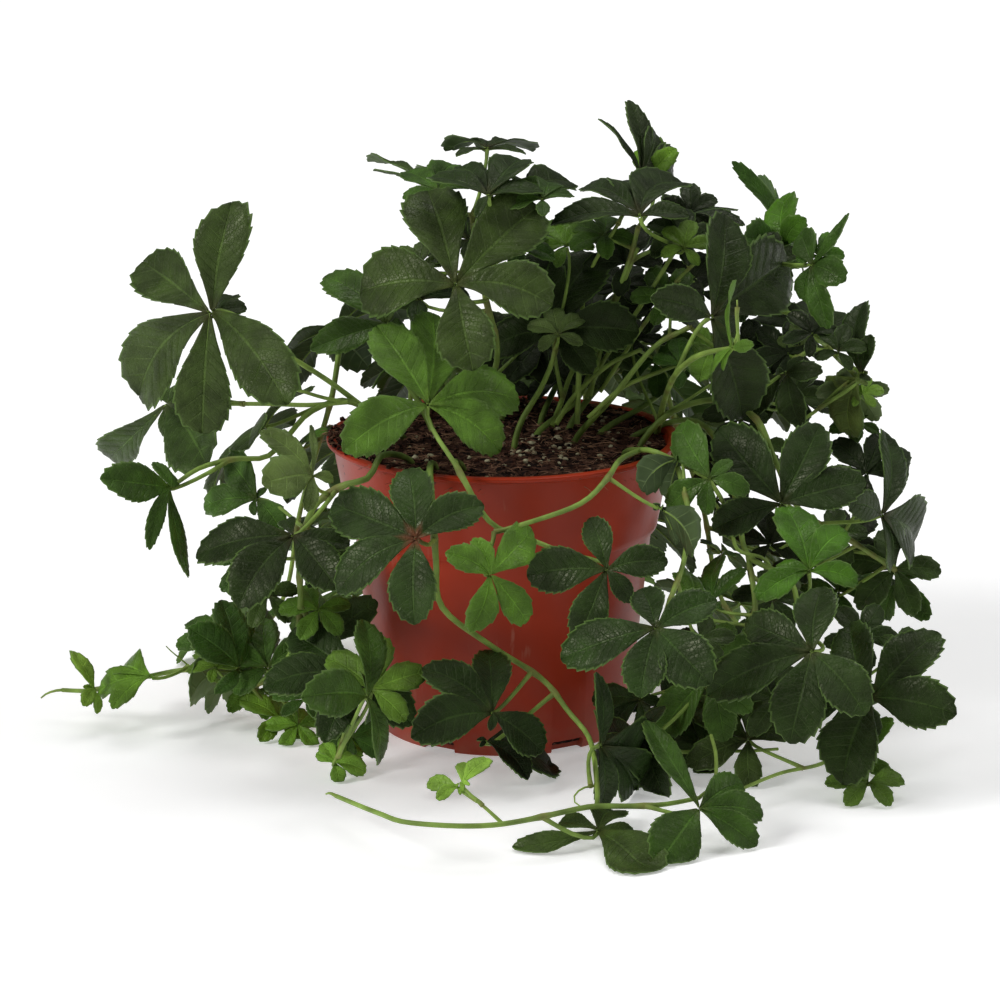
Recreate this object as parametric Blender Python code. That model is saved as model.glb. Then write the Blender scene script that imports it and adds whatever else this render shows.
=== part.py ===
"""A miniature grape ivy in a thirteen centimetre pot.

The pot and its soil stand on the surface, with the origin at the middle of the pot's base and the
front towards -Y. Every leafy stem is one solid: a stem, its leaf stalks and its leaves of five
leaflets, fused together. The stems and leaves of the front are placed by where a viewer sees them,
as pixels of a square view one thousand pixels wide, and by how far they lie in front of the pot's
axis. The back follows a rule. Lengths are in metres unless a name says millimetres.
"""
import math
import random

import bpy
import numpy as np
from mathutils import Matrix, Vector

MM = 0.001

# The view that the pixels belong to
VIEW_ELEVATION = math.radians(15.0)
VIEW_DISTANCE = 1.25
VIEW_TARGET = Vector((-0.0011, 0.0, 0.084))
VIEW_FOCAL_PIXELS = 3374.0
VIEW_CENTRE_PIXEL = 500.0

# The pot
POT_HEIGHT = 0.109
POT_RIM_RADIUS = 0.065
POT_COLLAR_TOP_RADIUS = 0.0628
POT_COLLAR_FOOT_RADIUS = 0.0572
POT_COLLAR_HEIGHT = 0.033
POT_BODY_TOP_RADIUS = 0.0552
POT_BASE_RADIUS = 0.047
POT_WALL = 0.002
POT_LIP_HEIGHT = 0.002
POT_SIDES = 34
FOOT_SLOTS = 6
FOOT_SLOT_WIDTH = 0.013
FOOT_SLOT_HEIGHT = 0.0044
FOOT_SLOT_TURN = math.radians(-60.0)

# The soil
GAP = 0.0003
SOIL_EDGE_HEIGHT = 0.1035
SOIL_MOUND = 0.003
SOIL_SINK = 0.014
SOIL_CLEAR = 0.003

# Stems and stalks
STEM_RADIUS = 0.0014
STEM_TIP_RADIUS = 0.0009
STEM_SIDES = 4
STEM_STEP = 0.017
STALK_RADIUS = 0.0008
STALK_STEPS = 2
STALK_PREFERRED = 0.75

# Leaves
BLADE_THICKNESS = 0.0008
LEAFLET_ANGLES = (-127.0, -61.0, 0.0, 61.0, 127.0)
LEAFLET_LENGTHS = (0.80, 0.95, 1.0, 0.95, 0.80)
LEAFLET_HALF_WIDTH = 0.28
LEAFLET_FOLD = 0.16
NOTCH_RADIUS = 0.06
FLOOR_CLEARANCE = 0.0009
LEAF_LIMITS = (0.010, 0.046)
SMALL_LEAF = 0.028
LARGE_LEAF = 0.038

# Outline of half a leaflet as (along, across), in shares of its length and half width
OUTLINE_SMALL = ((0.50, 0.84), (0.80, 0.86))
OUTLINE_MIDDLE = ((0.36, 0.64), (0.66, 1.0), (0.88, 0.62))
OUTLINE_LARGE = ((0.36, 0.64), (0.66, 1.0), (0.70, 0.86), (0.88, 0.60))


class Leaf:
    """A leaf: the pixel of its hub, and those of its five tips, clockwise from its stalk."""

    def __init__(self, hub, tips, front=0.0, height=None, droop=0.16, flip=False, under=False):
        self.hub = hub
        self.tips = tips
        self.front = front
        self.height = height
        self.droop = droop
        self.flip = flip
        self.under = under


# Each stem: where it stands in the soil (millimetres), its routes as (pixel across, pixel down,
# millimetres in front of the axis), and its leaves. Later routes branch from the first.
STEMS = {
    "stem_upper_left": (
        (-36, 6),
        [[(352, 402, 14), (305, 404, 20), (262, 428, 26), (222, 459, 32), (192, 476, 38)]],
        [
            Leaf((211, 312), [(288, 406), (203, 433), (134, 400), (135, 274), (225, 202)], 34),
            Leaf((171, 408), [None, (198, 464), (140, 474), (106, 456), None], -8),
            Leaf((170, 488), [(194, 576), (152, 551), (99, 477), None, None], 56),
        ],
    ),
    "stem_left": (
        (-33, -26),
        [
            [(383, 455, 50), (368, 478, 62), (340, 487, 60), (312, 510, 60), (300, 560, 56),
             (300, 610, 50), (290, 655, 38), (262, 682, 24), (225, 684, 16), (193, 670, 12),
             (150, 676, 10), (93, 690, 8), (62, 690, 7)],
            [(300, 610, 50), (328, 652, 50), (345, 690, 54), (345, 730, 66), (338, 757, 80)],
        ],
        [
            Leaf((313, 477), [(308, 511), (276, 480), (259, 432), (310, 421), (332, 470)], 84),
            Leaf((293, 535), [(350, 543), (338, 588), (240, 608), (197, 545), None], 74),
            Leaf((257, 499), [(267, 528), (228, 530), (204, 505), (238, 456), None], 40),
            Leaf((93, 689), [(97, 714), None, (60, 676), (72, 651), None], 18),
            Leaf((151, 677), [None, (112, 708), (97, 690), (126, 662), None], 24),
            Leaf((352, 676), [(413, 725), (325, 743), (263, 688), (290, 633), None], 68),
            Leaf((366, 697), [None, (385, 758), (301, 698), (370, 626), None], 98),
            Leaf((238, 668), [None, (188, 628), (221, 600), (268, 612), None], 36),
            Leaf((326, 646), [None, (292, 618), (312, 594), (378, 602), None], 40),
            Leaf((279, 721), [(313, 722), (304, 750), (272, 746), (239, 702), None], height=4),
            Leaf((335, 763), [None, (341, 742), (364, 753), (366, 774), (341, 784)], height=6),
            Leaf((237, 672), [(237, 705), (208, 712), (190, 698), None, None], 4, under=True),
        ],
    ),
    "stem_front": (
        (-14, -38),
        [[(455, 462, 61), (464, 480, 72), (491, 523, 76), (532, 540, 76), (572, 556, 80)]],
        [
            Leaf((428, 405), [(343, 452), (376, 326), (432, 313), (519, 400), (500, 452)], 56),
            Leaf((607, 570), [(668, 562), None, (578, 642), (527, 576), (590, 518)], 92),
        ],
    ),
    "stem_front_right": (
        (44, -14),
        [
            [(640, 450, 34), (656, 452, 44), (680, 463, 46), (706, 476, 48)],
            [(640, 450, 34), (620, 460, 52), (606, 480, 70), (578, 505, 80), (514, 527, 88),
             (494, 532, 90)],
            [(680, 463, 46), (688, 510, 64), (684, 560, 84), (670, 600, 98)],
        ],
        [
            Leaf((710, 479), [(675, 418), None, (750, 492), (708, 515), (668, 510)], 60),
            Leaf((490, 575), [(445, 553), (473, 538), (532, 530), (527, 622), (470, 632)], 102),
            Leaf((656, 629), [(717, 600), (711, 684), (641, 698), (561, 660), (641, 589)], 118),
            Leaf((728, 500), [None, (752, 530), (722, 545), (690, 532), None], 20),
        ],
    ),
    "stem_pot_front": (
        (-24, -36),
        [
            [(430, 466, 60), (432, 500, 74), (436, 560, 70), (442, 607, 66), (490, 645, 66),
             (542, 679, 68), (590, 740, 92), (597, 785, 122), (597, 806, 137)],
            [(597, 806, 137), (640, 806, 136), (667, 804, 134), (699, 798, 130)],
            [(597, 806, 137), (582, 808, 139), (494, 825, 161), (412, 823, 158), (378, 813, 144),
             (336, 796, 120)],
        ],
        [
            Leaf((416, 539), [(415, 625), (338, 594), (332, 505), (408, 469), (484, 505)], 95),
            Leaf((492, 713), [(543, 748), (553, 776), (410, 737), (422, 668), (488, 650)], 86),
            Leaf((600, 746), [(625, 700), None, (671, 752), (640, 812), (606, 806)], 88),
            Leaf((595, 834), [(511, 830), (565, 812), (613, 813), None, (656, 885)], height=5),
            Leaf((699, 809), [(663, 869), (644, 719), (738, 783), (763, 808), (762, 838)], height=14),
        ],
    ),
    "stem_top_left": (
        (-12, 8),
        [[(497, 360, 4), (486, 300, 6), (476, 250, 6), (472, 215, 4)]],
        [
            Leaf((456, 285), [(359, 290), (426, 190), (538, 210), (553, 310), (480, 370)], 40),
            Leaf((388, 325), [None, (310, 350), (324, 277), (385, 262), None], 10),
            Leaf((485, 160), [(438, 166), (433, 142), (482, 136), (547, 145), (530, 166)], -8),
            Leaf((488, 196), [None, (412, 178), (455, 150), (525, 155), (549, 190)], 28),
            Leaf((435, 192), [None, (375, 174), (369, 157), (430, 160), None], -36),
        ],
    ),
    "stem_middle": (
        (4, -10),
        [[(522, 420, 8), (540, 390, 6), (553, 360, 2), (557, 340, -2)]],
        [
            Leaf((556, 332), [(488, 352), (512, 270), (597, 260), (639, 332), (592, 374)], -2),
        ],
    ),
    "stem_top_middle": (
        (12, 9),
        [[(580, 395, -22), (602, 330, -18), (628, 265, -12), (638, 228, -10)]],
        [
            Leaf((640, 214), [(560, 210), (567, 175), (628, 165), (697, 167), (692, 204)], 16),
            Leaf((640, 176), [None, (600, 121), (627, 102), (658, 138), (678, 160)], -36),
            Leaf((672, 232), [None, None, (729, 202), (745, 225), None], -30),
        ],
    ),
    "stem_top_right": (
        (26, 0),
        [[(612, 398, 6), (654, 347, 8), (690, 327, 10)]],
        [
            Leaf((711, 317), [(650, 298), (724, 214), (787, 260), None, (744, 402)], 26),
            Leaf((735, 345), [None, (700, 375), (690, 350), (735, 277), (754, 346)], 72),
        ],
    ),
    "stem_right_arch": (
        (36, 16),
        [
            [(655, 398, -28), (705, 345, -26), (750, 300, -20), (778, 262, -16)],
            [(750, 300, -20), (800, 318, -14), (830, 350, -8), (856, 376, -4)],
        ],
        [
            Leaf((781, 252), [(745, 237), (736, 158), (753, 163), (790, 185), (807, 228)], -38),
            Leaf((813, 264), [(796, 238), (848, 214), (845, 272), (829, 330), (804, 302)], 12),
            Leaf((811, 340), [None, (780, 320), (815, 303), (852, 318), None], -36),
            Leaf((854, 374), [None, (862, 303), (890, 392), (848, 437), None], 2),
        ],
    ),
    "stem_right": (
        (50, -2),
        [[(672, 412, 2), (720, 400, 10), (757, 420, 20), (775, 460, 26), (800, 510, 20),
          (850, 540, 8), (895, 570, 0)]],
        [
            Leaf((781, 504), [(713, 530), (718, 430), (820, 424), (866, 481), None], 50),
            Leaf((881, 515), [(848, 503), (884, 430), None, (931, 547), (892, 567)], 24),
            Leaf((787, 374), [None, (823, 372), (800, 426), (756, 412), None], 4),
            Leaf((898, 582), [None, (932, 555), (930, 628), (884, 632), None], -20),
        ],
    ),
    "stem_right_low": (
        (47, 10),
        [
            [(690, 420, -14), (722, 450, -8), (738, 510, 16), (748, 555, 36), (790, 580, 52),
             (800, 620, 66), (822, 670, 60), (850, 715, 58), (862, 745, 62)],
            [(748, 555, 36), (755, 610, 52), (742, 660, 60), (706, 684, 66)],
        ],
        [
            Leaf((809, 571), [(757, 600), None, (785, 507), (846, 531), (858, 584)], 86),
            Leaf((812, 652), [(866, 715), (790, 744), (708, 696), (746, 622), (822, 587)], 109),
            Leaf((871, 699), [None, (850, 624), (937, 627), (957, 694), (852, 787)], 84),
            Leaf((868, 757), [(893, 718), (899, 790), (858, 810), (835, 792), None], height=4),
            Leaf((712, 676), [(765, 640), (752, 712), (725, 742), (662, 735), None], 70),
            Leaf((640, 700), [None, (652, 746), (608, 732), (592, 700), None], 50),
        ],
    ),
}

# The back: stems at these turns round the pot, in degrees from +X, with their leaves
BACK_TURNS = (42.0, 65.0, 91.0, 119.0, 143.0)
BACK_LEAVES = 4
BACK_SEED = 3
BACK_ROOT_RADIUS = 0.033
BACK_RISE = 0.030
BACK_REACH = 0.100
BACK_DROP = 0.030


def view_axes():
    """The view's right, up and forward directions, and its eye."""
    forward = Vector((0.0, math.cos(VIEW_ELEVATION), -math.sin(VIEW_ELEVATION)))
    up = Vector((0.0, math.sin(VIEW_ELEVATION), math.cos(VIEW_ELEVATION)))
    return Vector((1.0, 0.0, 0.0)), up, forward, VIEW_TARGET - forward * VIEW_DISTANCE


def sight_line(pixel):
    """Direction of the line from the eye through a pixel."""
    right, up, forward, _ = view_axes()
    across = (pixel[0] - VIEW_CENTRE_PIXEL) / VIEW_FOCAL_PIXELS
    down = (pixel[1] - VIEW_CENTRE_PIXEL) / VIEW_FOCAL_PIXELS
    return forward + right * across - up * down


def spot(pixel, front_mm):
    """The point seen at a pixel that lies so far in front of the pot's axis."""
    eye = view_axes()[3]
    line = sight_line(pixel)
    return eye + line * ((-front_mm * MM - eye.y) / line.y)


def spot_at_height(pixel, height_mm):
    """The point seen at a pixel that lies at a height above the surface."""
    eye = view_axes()[3]
    line = sight_line(pixel)
    return eye + line * ((height_mm * MM - eye.z) / line.z)


def smooth_route(points, step):
    """Points a step apart along a smooth curve through the given ones."""
    ends = [points[0] * 2 - points[1]] + list(points) + [points[-1] * 2 - points[-2]]
    dense = []
    for i in range(1, len(ends) - 2):
        a, b, c, d = ends[i - 1], ends[i], ends[i + 1], ends[i + 2]
        for k in range(12):
            t = k / 12.0
            dense.append(0.5 * (2 * b + (c - a) * t + (2 * a - 5 * b + 4 * c - d) * t * t
                                + (3 * b - a - 3 * c + d) * t ** 3))
    dense.append(points[-1])
    lengths = [0.0]
    for p, q in zip(dense, dense[1:]):
        lengths.append(lengths[-1] + (q - p).length)
    count = max(2, round(lengths[-1] / step))
    route = []
    k = 0
    for i in range(count + 1):
        want = lengths[-1] * i / count
        while k < len(dense) - 2 and lengths[k + 1] < want:
            k += 1
        share = (want - lengths[k]) / max(lengths[k + 1] - lengths[k], 1e-9)
        route.append(dense[k].lerp(dense[k + 1], min(1.0, max(0.0, share))))
    return route


def mesh_object(name, points, faces):
    """An object with the given points and faces."""
    mesh = bpy.data.meshes.new(name)
    mesh.from_pydata([tuple(p) for p in points], [], faces)
    mesh.update()
    item = bpy.data.objects.new(name, mesh)
    bpy.context.scene.collection.objects.link(item)
    return item


def tube(route, radii, sides, first_side=None):
    """Points and faces of a closed tube along a route."""
    points, faces = [], []
    side = first_side
    for i, centre in enumerate(route):
        ahead = route[min(i + 1, len(route) - 1)] - route[max(i - 1, 0)]
        ahead.normalize()
        if side is None:
            side = ahead.orthogonal()
        side = (side - ahead * side.dot(ahead)).normalized()
        other = ahead.cross(side)
        for k in range(sides):
            a = 2 * math.pi * k / sides
            points.append(centre + (side * math.cos(a) + other * math.sin(a)) * radii[i])
    for i in range(len(route) - 1):
        for k in range(sides):
            n = (k + 1) % sides
            a, b = i * sides + k, i * sides + n
            faces.append((a, b, b + sides, a + sides))
    faces.append(tuple(reversed(range(sides))))
    last = (len(route) - 1) * sides
    faces.append(tuple(range(last, last + sides)))
    return points, faces


def leaf_pose(leaf):
    """The hub, the leaf's own axes, its size, and the turn and length of each leaflet."""
    hub = spot(leaf.hub, leaf.front) if leaf.height is None else spot_at_height(leaf.hub, leaf.height)
    right, up, forward, eye = view_axes()
    scale = (hub - eye).dot(forward) / VIEW_FOCAL_PIXELS
    order = range(5) if not leaf.under else range(4, -1, -1)
    flat, seen = [], []
    for tip, i in zip(leaf.tips, order):
        if tip is not None:
            turn = math.radians(LEAFLET_ANGLES[i])
            flat.append([LEAFLET_LENGTHS[i] * math.sin(turn), LEAFLET_LENGTHS[i] * math.cos(turn)])
            seen.append([(tip[0] - leaf.hub[0]) * scale, (leaf.hub[1] - tip[1]) * scale])
    fit = np.linalg.lstsq(np.array(flat), np.array(seen), rcond=None)[0].T
    u, s, vt = np.linalg.svd(fit)
    size = min(max(s[0], LEAF_LIMITS[0]), LEAF_LIMITS[1])
    narrow = min(1.0, max(s[1] / s[0], 0.22))
    tilt = math.sqrt(1.0 - narrow ** 2)
    picked = None
    for sign in (1.0, -1.0):
        columns = []
        for p, q in ((1.0, 0.0), (0.0, 1.0)):
            w = vt @ np.array([p, q])
            plane = u @ np.array([w[0], narrow * w[1]])
            columns.append(right * plane[0] + up * plane[1] - forward * (sign * tilt * w[1]))
        x_axis, y_axis = columns[0].normalized(), columns[1].normalized()
        z_axis = x_axis.cross(y_axis)
        lift = z_axis.z if not leaf.flip else -z_axis.z
        if picked is None or lift > picked[0]:
            picked = (lift, x_axis, y_axis, z_axis)
    back = np.linalg.inv(fit)
    turns, lengths = list(LEAFLET_ANGLES), [size * r for r in LEAFLET_LENGTHS]
    for tip, i in zip(leaf.tips, order):
        if tip is not None:
            own = back @ np.array([(tip[0] - leaf.hub[0]) * scale, (leaf.hub[1] - tip[1]) * scale])
            turn = math.degrees(math.atan2(own[0], own[1]))
            turns[i] = min(max(turn, LEAFLET_ANGLES[i] - 16), LEAFLET_ANGLES[i] + 16)
            share = math.hypot(own[0], own[1]) / LEAFLET_LENGTHS[i]
            lengths[i] *= min(max(share, 0.75), 1.2)
    return hub, Matrix((picked[1], picked[2], picked[3])).transposed(), size, turns, lengths


def leaf_outline(size):
    """Half a leaflet's outline for a leaf of this size."""
    if size < SMALL_LEAF:
        return OUTLINE_SMALL
    return OUTLINE_LARGE if size > LARGE_LEAF else OUTLINE_MIDDLE


def leaf_solid(name, pose, droop, stalk_foot, stalk_out):
    """A closed leaf: a thin blade cut into five leaflets, and the stalk from its back edge."""
    hub, axes, size, turns, lengths = pose
    outline = leaf_outline(size)
    notch = NOTCH_RADIUS * size + 0.0006
    flat = [(0.0, 0.0, 0.0)]
    faces = []
    notch_turns = [max(turns[0] - 27.0, -158.0)]
    notch_turns += [(a + b) / 2 for a, b in zip(turns, turns[1:])]
    notch_turns += [min(turns[4] + 27.0, 158.0)]
    notches = []
    for turn in notch_turns:
        a = math.radians(turn)
        notches.append(len(flat))
        flat.append((notch * math.sin(a), notch * math.cos(a), 0.0))
    rim = []
    for i in range(5):
        a = math.radians(turns[i])
        along, across = Vector((math.sin(a), math.cos(a))), Vector((math.cos(a), -math.sin(a)))
        room = [math.radians(abs(turns[i] - turns[j])) / 2 for j in (i - 1, i + 1) if 0 <= j < 5]
        half = min(LEAFLET_HALF_WIDTH, 0.62 * math.tan(min(room)))

        def place(s, w):
            length = lengths[i]
            p = along * (s * length) + across * (w * half * length)
            rise = LEAFLET_FOLD * abs(w) * half * length - droop * length * s * s
            flat.append((p.x, p.y, rise))
            return len(flat) - 1

        left = [place(s, -w) for s, w in outline]
        right = [place(s, w) for s, w in outline]
        tip = place(1.0, 0.0)
        middle = place(0.55, 0.0) if size > SMALL_LEAF else 0
        rim += [notches[i]] + left + [tip] + list(reversed(right))
        for edge, way in ((left, 1), (right, -1)):
            start = notches[i] if way == 1 else notches[i + 1]
            chain = [start] + edge
            split = max(1, len(chain) // 2)
            strip = [(0, chain[k], chain[k + 1]) for k in range(split)]
            if middle:
                strip.append((0, chain[split], middle))
            strip += [(middle, chain[k], chain[k + 1]) for k in range(split, len(chain) - 1)]
            strip.append((middle, chain[-1], tip))
            for a_, b_, c_ in strip:
                faces.append((a_, c_, b_) if way == 1 else (a_, b_, c_))
    rim.append(notches[5])
    count = len(flat)
    faces.append((0, notches[0], notches[5]))
    middle_points = [hub + axes @ Vector(p) for p in flat]
    lift = axes @ Vector((0.0, 0.0, BLADE_THICKNESS / 2))
    top, bottom = [], []
    for p in middle_points:
        p = Vector((p.x, p.y, max(p.z, FLOOR_CLEARANCE + abs(lift.z))))
        top.append(p + lift)
        bottom.append(p - lift)
    points = top + bottom
    solid = list(faces)
    solid += [(a + count, c + count, b + count) for a, b, c in faces]
    for a, b in zip(rim, rim[1:]):
        solid += [(a, b, b + count), (a, b + count, a + count)]
    stalk_rings(points, solid, (notches[5], notches[0]), count, hub, axes, stalk_foot, stalk_out)
    return mesh_object(name, points, solid)


def stalk_rings(points, solid, ends, count, hub, axes, foot, out):
    """The stalk: the blade's back edge carried on, ring by ring, to its foot in the stem."""
    first, last = ends
    ring = [first, last, last + count, first + count]
    start = (points[first] + points[last + count]) / 2
    reach = (foot - start).length
    leave = (axes @ Vector((0.0, -0.8, -0.6))).normalized()
    arrive = out.normalized()
    side = (points[last] - points[first]).normalized()
    for i in range(1, STALK_STEPS + 1):
        t = i / STALK_STEPS
        a, b, c, d = start, start + leave * reach * 0.35, foot + arrive * reach * 0.3, foot
        centre = a * (1 - t) ** 3 + b * 3 * t * (1 - t) ** 2 + c * 3 * t * t * (1 - t) + d * t ** 3
        ahead = ((b - a) * (1 - t) ** 2 + (c - b) * 2 * t * (1 - t) + (d - c) * t * t).normalized()
        side = (side - ahead * side.dot(ahead)).normalized()
        other = side.cross(ahead)
        new = []
        for p, q in ((-1, 1), (1, 1), (1, -1), (-1, -1)):
            new.append(len(points))
            corner = centre + (side * p + other * q) * (STALK_RADIUS * 0.8)
            points.append(Vector((corner.x, corner.y, max(corner.z, FLOOR_CLEARANCE / 2))))
        for k in range(4):
            n = (k + 1) % 4
            solid.append((ring[k], ring[n], new[n]))
            solid.append((ring[k], new[n], new[k]))
        ring = new
    solid.append((ring[0], ring[1], ring[2]))
    solid.append((ring[0], ring[2], ring[3]))


def soil_height(x, y):
    """Height of the soil's surface."""
    share = min(1.0, math.hypot(x, y) / POT_COLLAR_TOP_RADIUS)
    return SOIL_EDGE_HEIGHT + SOIL_MOUND * (1.0 - share * share)


def stem_route(root, pixels):
    """A stem's smooth route out of its hole in the soil and through the given spots."""
    x, y = root[0] * MM, root[1] * MM
    after = [spot((u, v), front) for u, v, front in pixels]
    return rooted_route(x, y, after)


def rooted_route(x, y, after):
    """A route that stands upright in its hole and then runs smoothly through the other points."""
    ground = soil_height(x, y)
    collar = Vector((x, y, ground + SOIL_CLEAR))
    return [Vector((x, y, ground - SOIL_SINK))] + smooth_route([collar] + after, STEM_STEP)


def branch_route(parent, pixels):
    """A branch's route, from the nearest point of the stem that carries it."""
    after = [spot((u, v), front) for u, v, front in pixels]
    start = min(parent, key=lambda p: (p - after[0]).length)
    return smooth_route([start] + after[1:], STEM_STEP)


def above_floor(route, radius):
    """The same route with no point closer to the surface than a radius and a little."""
    lowest = radius + FLOOR_CLEARANCE / 2
    return [Vector((p.x, p.y, max(p.z, lowest))) for p in route]


def stalk_foot(pose, routes):
    """Where a leaf's stalk meets its stem, and the way in which it leaves the stem."""
    hub, axes, size = pose[:3]
    back = (axes @ Vector((0.0, -0.8, -0.6))).normalized()
    best = None
    for route in routes:
        for k, point in enumerate(route):
            if point.z < FLOOR_CLEARANCE or (k < 2 and route is routes[0]):
                continue
            reach = (point - hub).length
            cost = abs(reach - STALK_PREFERRED * size) / size
            cost += 0.5 * (1.0 - (point - hub).normalized().dot(back))
            if best is None or cost < best[0]:
                ahead = route[min(k + 1, len(route) - 1)] - route[max(k - 1, 0)]
                ahead.normalize()
                out = hub - point
                out = out - ahead * out.dot(ahead) * 0.5
                best = (cost, point, out)
    return best[1], best[2]


def leafy_stem(name, routes, poses):
    """One solid: the stem and its branches, with every leaf's stalk sunk in and fused."""
    pieces = []
    for number, route in enumerate(routes):
        thick = STEM_RADIUS if number == 0 else STEM_RADIUS * 0.85
        radii = []
        for k in range(len(route)):
            share = k / (len(route) - 1)
            radii.append(thick + (STEM_TIP_RADIUS - thick) * share ** 1.5)
        pieces.append(mesh_object(name + "_shoot%d" % number, *tube(route, radii, STEM_SIDES)))
    for number, (pose, droop) in enumerate(poses):
        foot, out = stalk_foot(pose, routes)
        pieces.append(leaf_solid(name + "_leaf%d" % number, pose, droop, foot, out))
    return fuse(name, pieces)


def fuse(name, pieces):
    """The first piece, joined with the others by one union."""
    base = pieces[0]
    base.name = name
    base.data.name = name
    others = bpy.data.collections.new(name + "_pieces")
    for piece in pieces[1:]:
        others.objects.link(piece)
    union = base.modifiers.new("Union", "BOOLEAN")
    union.operation = "UNION"
    union.solver = "MANIFOLD"
    union.operand_type = "COLLECTION"
    union.collection = others
    bpy.context.view_layer.update()
    mesh = bpy.data.meshes.new_from_object(base.evaluated_get(bpy.context.evaluated_depsgraph_get()))
    base.modifiers.clear()
    base.data = mesh
    for piece in list(others.objects):
        bpy.data.objects.remove(piece)
    bpy.data.collections.remove(others)
    return base


def back_poses(route, turn, draws):
    """The poses of a back stem's leaves, on alternate sides of it and facing out and up."""
    poses = []
    out = Vector((math.cos(turn), math.sin(turn), 0.0))
    side = Vector((-math.sin(turn), math.cos(turn), 0.0))
    for k in range(BACK_LEAVES):
        share = 0.42 + 0.56 * k / (BACK_LEAVES - 1)
        point = route[round(share * (len(route) - 1))]
        way = 1.0 if k % 2 else -1.0
        size = (0.038 - 0.011 * k / (BACK_LEAVES - 1)) * draws.uniform(0.92, 1.08)
        hub = point + (side * way * 0.55 + out * 0.45 + Vector((0, 0, 0.35))) * size * 0.8
        z_axis = (out * 0.72 + Vector((0, 0, 0.68)) + side * way * draws.uniform(0.0, 0.3)).normalized()
        ahead = side * way * 0.8 + out * 0.4 - Vector((0, 0, 0.6 + draws.uniform(-0.2, 0.2)))
        y_axis = (ahead - z_axis * ahead.dot(z_axis)).normalized()
        x_axis = y_axis.cross(z_axis)
        turns = [a + draws.uniform(-6, 6) for a in LEAFLET_ANGLES]
        lengths = [size * r * draws.uniform(0.92, 1.05) for r in LEAFLET_LENGTHS]
        axes = Matrix((x_axis, y_axis, z_axis)).transposed()
        poses.append(((hub, axes, size, turns, lengths), 0.18))
    return poses


def back_stem(number, turn_degrees, draws):
    """A stem of the hidden back: out of the soil, over the rim and down to the surface."""
    turn = math.radians(turn_degrees)
    out = Vector((math.cos(turn), math.sin(turn), 0.0))
    side = Vector((-math.sin(turn), math.cos(turn), 0.0))
    x, y = out.x * BACK_ROOT_RADIUS, out.y * BACK_ROOT_RADIUS
    sway = draws.uniform(-0.012, 0.012)
    top = POT_HEIGHT + BACK_RISE * draws.uniform(0.6, 1.0)
    points = []
    for reach, height, share in (
        (0.050, top - 0.012, 0.2), (0.074, top, 0.4), (BACK_REACH - 0.016, top - 0.030, 0.7),
        (BACK_REACH, 0.064, 0.9), (BACK_REACH + 0.008, BACK_DROP, 1.0), (BACK_REACH + 0.022, 0.009, 1.2),
    ):
        points.append(out * reach + side * sway * share + Vector((0, 0, height)))
    route = above_floor(rooted_route(x, y, points), STEM_RADIUS)
    return leafy_stem("stem_back_%d" % number, [route], back_poses(route, turn, draws))


def turned(name, profile):
    """A solid turned round the upright axis from a profile of (radius, height) points."""
    points, faces, rings = [], [], []
    for radius, height in profile:
        if radius == 0.0:
            rings.append([len(points)] * POT_SIDES)
            points.append((0.0, 0.0, height))
            continue
        rings.append(list(range(len(points), len(points) + POT_SIDES)))
        for k in range(POT_SIDES):
            a = 2 * math.pi * k / POT_SIDES
            points.append((radius * math.cos(a), radius * math.sin(a), height))
    for lower, upper in zip(rings, rings[1:]):
        for k in range(POT_SIDES):
            n = (k + 1) % POT_SIDES
            corners = [lower[k], lower[n], upper[n], upper[k]]
            face = [c for i, c in enumerate(corners) if c not in corners[:i]]
            faces.append(tuple(face))
    return mesh_object(name, points, faces)


def cut(item, cutters):
    """Cut the cutters away from an item and remove them."""
    for cutter in cutters:
        tool = item.modifiers.new("Cut", "BOOLEAN")
        tool.operation = "DIFFERENCE"
        tool.solver = "EXACT"
        tool.object = cutter
    bpy.context.view_layer.update()
    mesh = bpy.data.meshes.new_from_object(item.evaluated_get(bpy.context.evaluated_depsgraph_get()))
    item.modifiers.clear()
    item.data = mesh
    for cutter in cutters:
        bpy.data.objects.remove(cutter)


def pot_shelf():
    """Heights of the collar's foot outside and inside."""
    outside = POT_HEIGHT - POT_COLLAR_HEIGHT
    return outside, outside + 0.0025


def make_pot():
    """The pot: base, tapered body, collar, flared lip and the slots round its foot."""
    collar, shelf = pot_shelf()
    lip = POT_HEIGHT - POT_LIP_HEIGHT
    pot = turned("pot", [
        (0.0, 0.0),
        (POT_BASE_RADIUS, 0.0),
        (POT_BODY_TOP_RADIUS, collar - 0.0004),
        (POT_COLLAR_FOOT_RADIUS, collar),
        (POT_COLLAR_TOP_RADIUS, lip),
        (POT_RIM_RADIUS, lip + 0.0004),
        (POT_RIM_RADIUS, POT_HEIGHT),
        (POT_COLLAR_TOP_RADIUS - POT_WALL + 0.0002, POT_HEIGHT),
        (POT_COLLAR_FOOT_RADIUS - POT_WALL, shelf),
        (POT_BODY_TOP_RADIUS - POT_WALL, shelf - 0.002),
        (POT_BASE_RADIUS - POT_WALL + 0.0002, POT_WALL),
        (0.0, POT_WALL),
    ])
    cutters = []
    for k in range(FOOT_SLOTS):
        turn = FOOT_SLOT_TURN + 2 * math.pi * k / FOOT_SLOTS
        bpy.ops.mesh.primitive_cube_add(size=1.0)
        box = bpy.context.active_object
        box.name = "slot_cutter_%d" % k
        box.scale = (0.012, FOOT_SLOT_WIDTH, 2 * FOOT_SLOT_HEIGHT)
        box.rotation_euler = (0.0, 0.0, turn)
        box.location = (math.cos(turn) * 0.049, math.sin(turn) * 0.049, 0.0)
        cutters.append(box)
    cut(pot, cutters)
    finish(pot, "pot_plastic", (0.42, 0.10, 0.045, 1.0), 0.42)
    return pot


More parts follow.
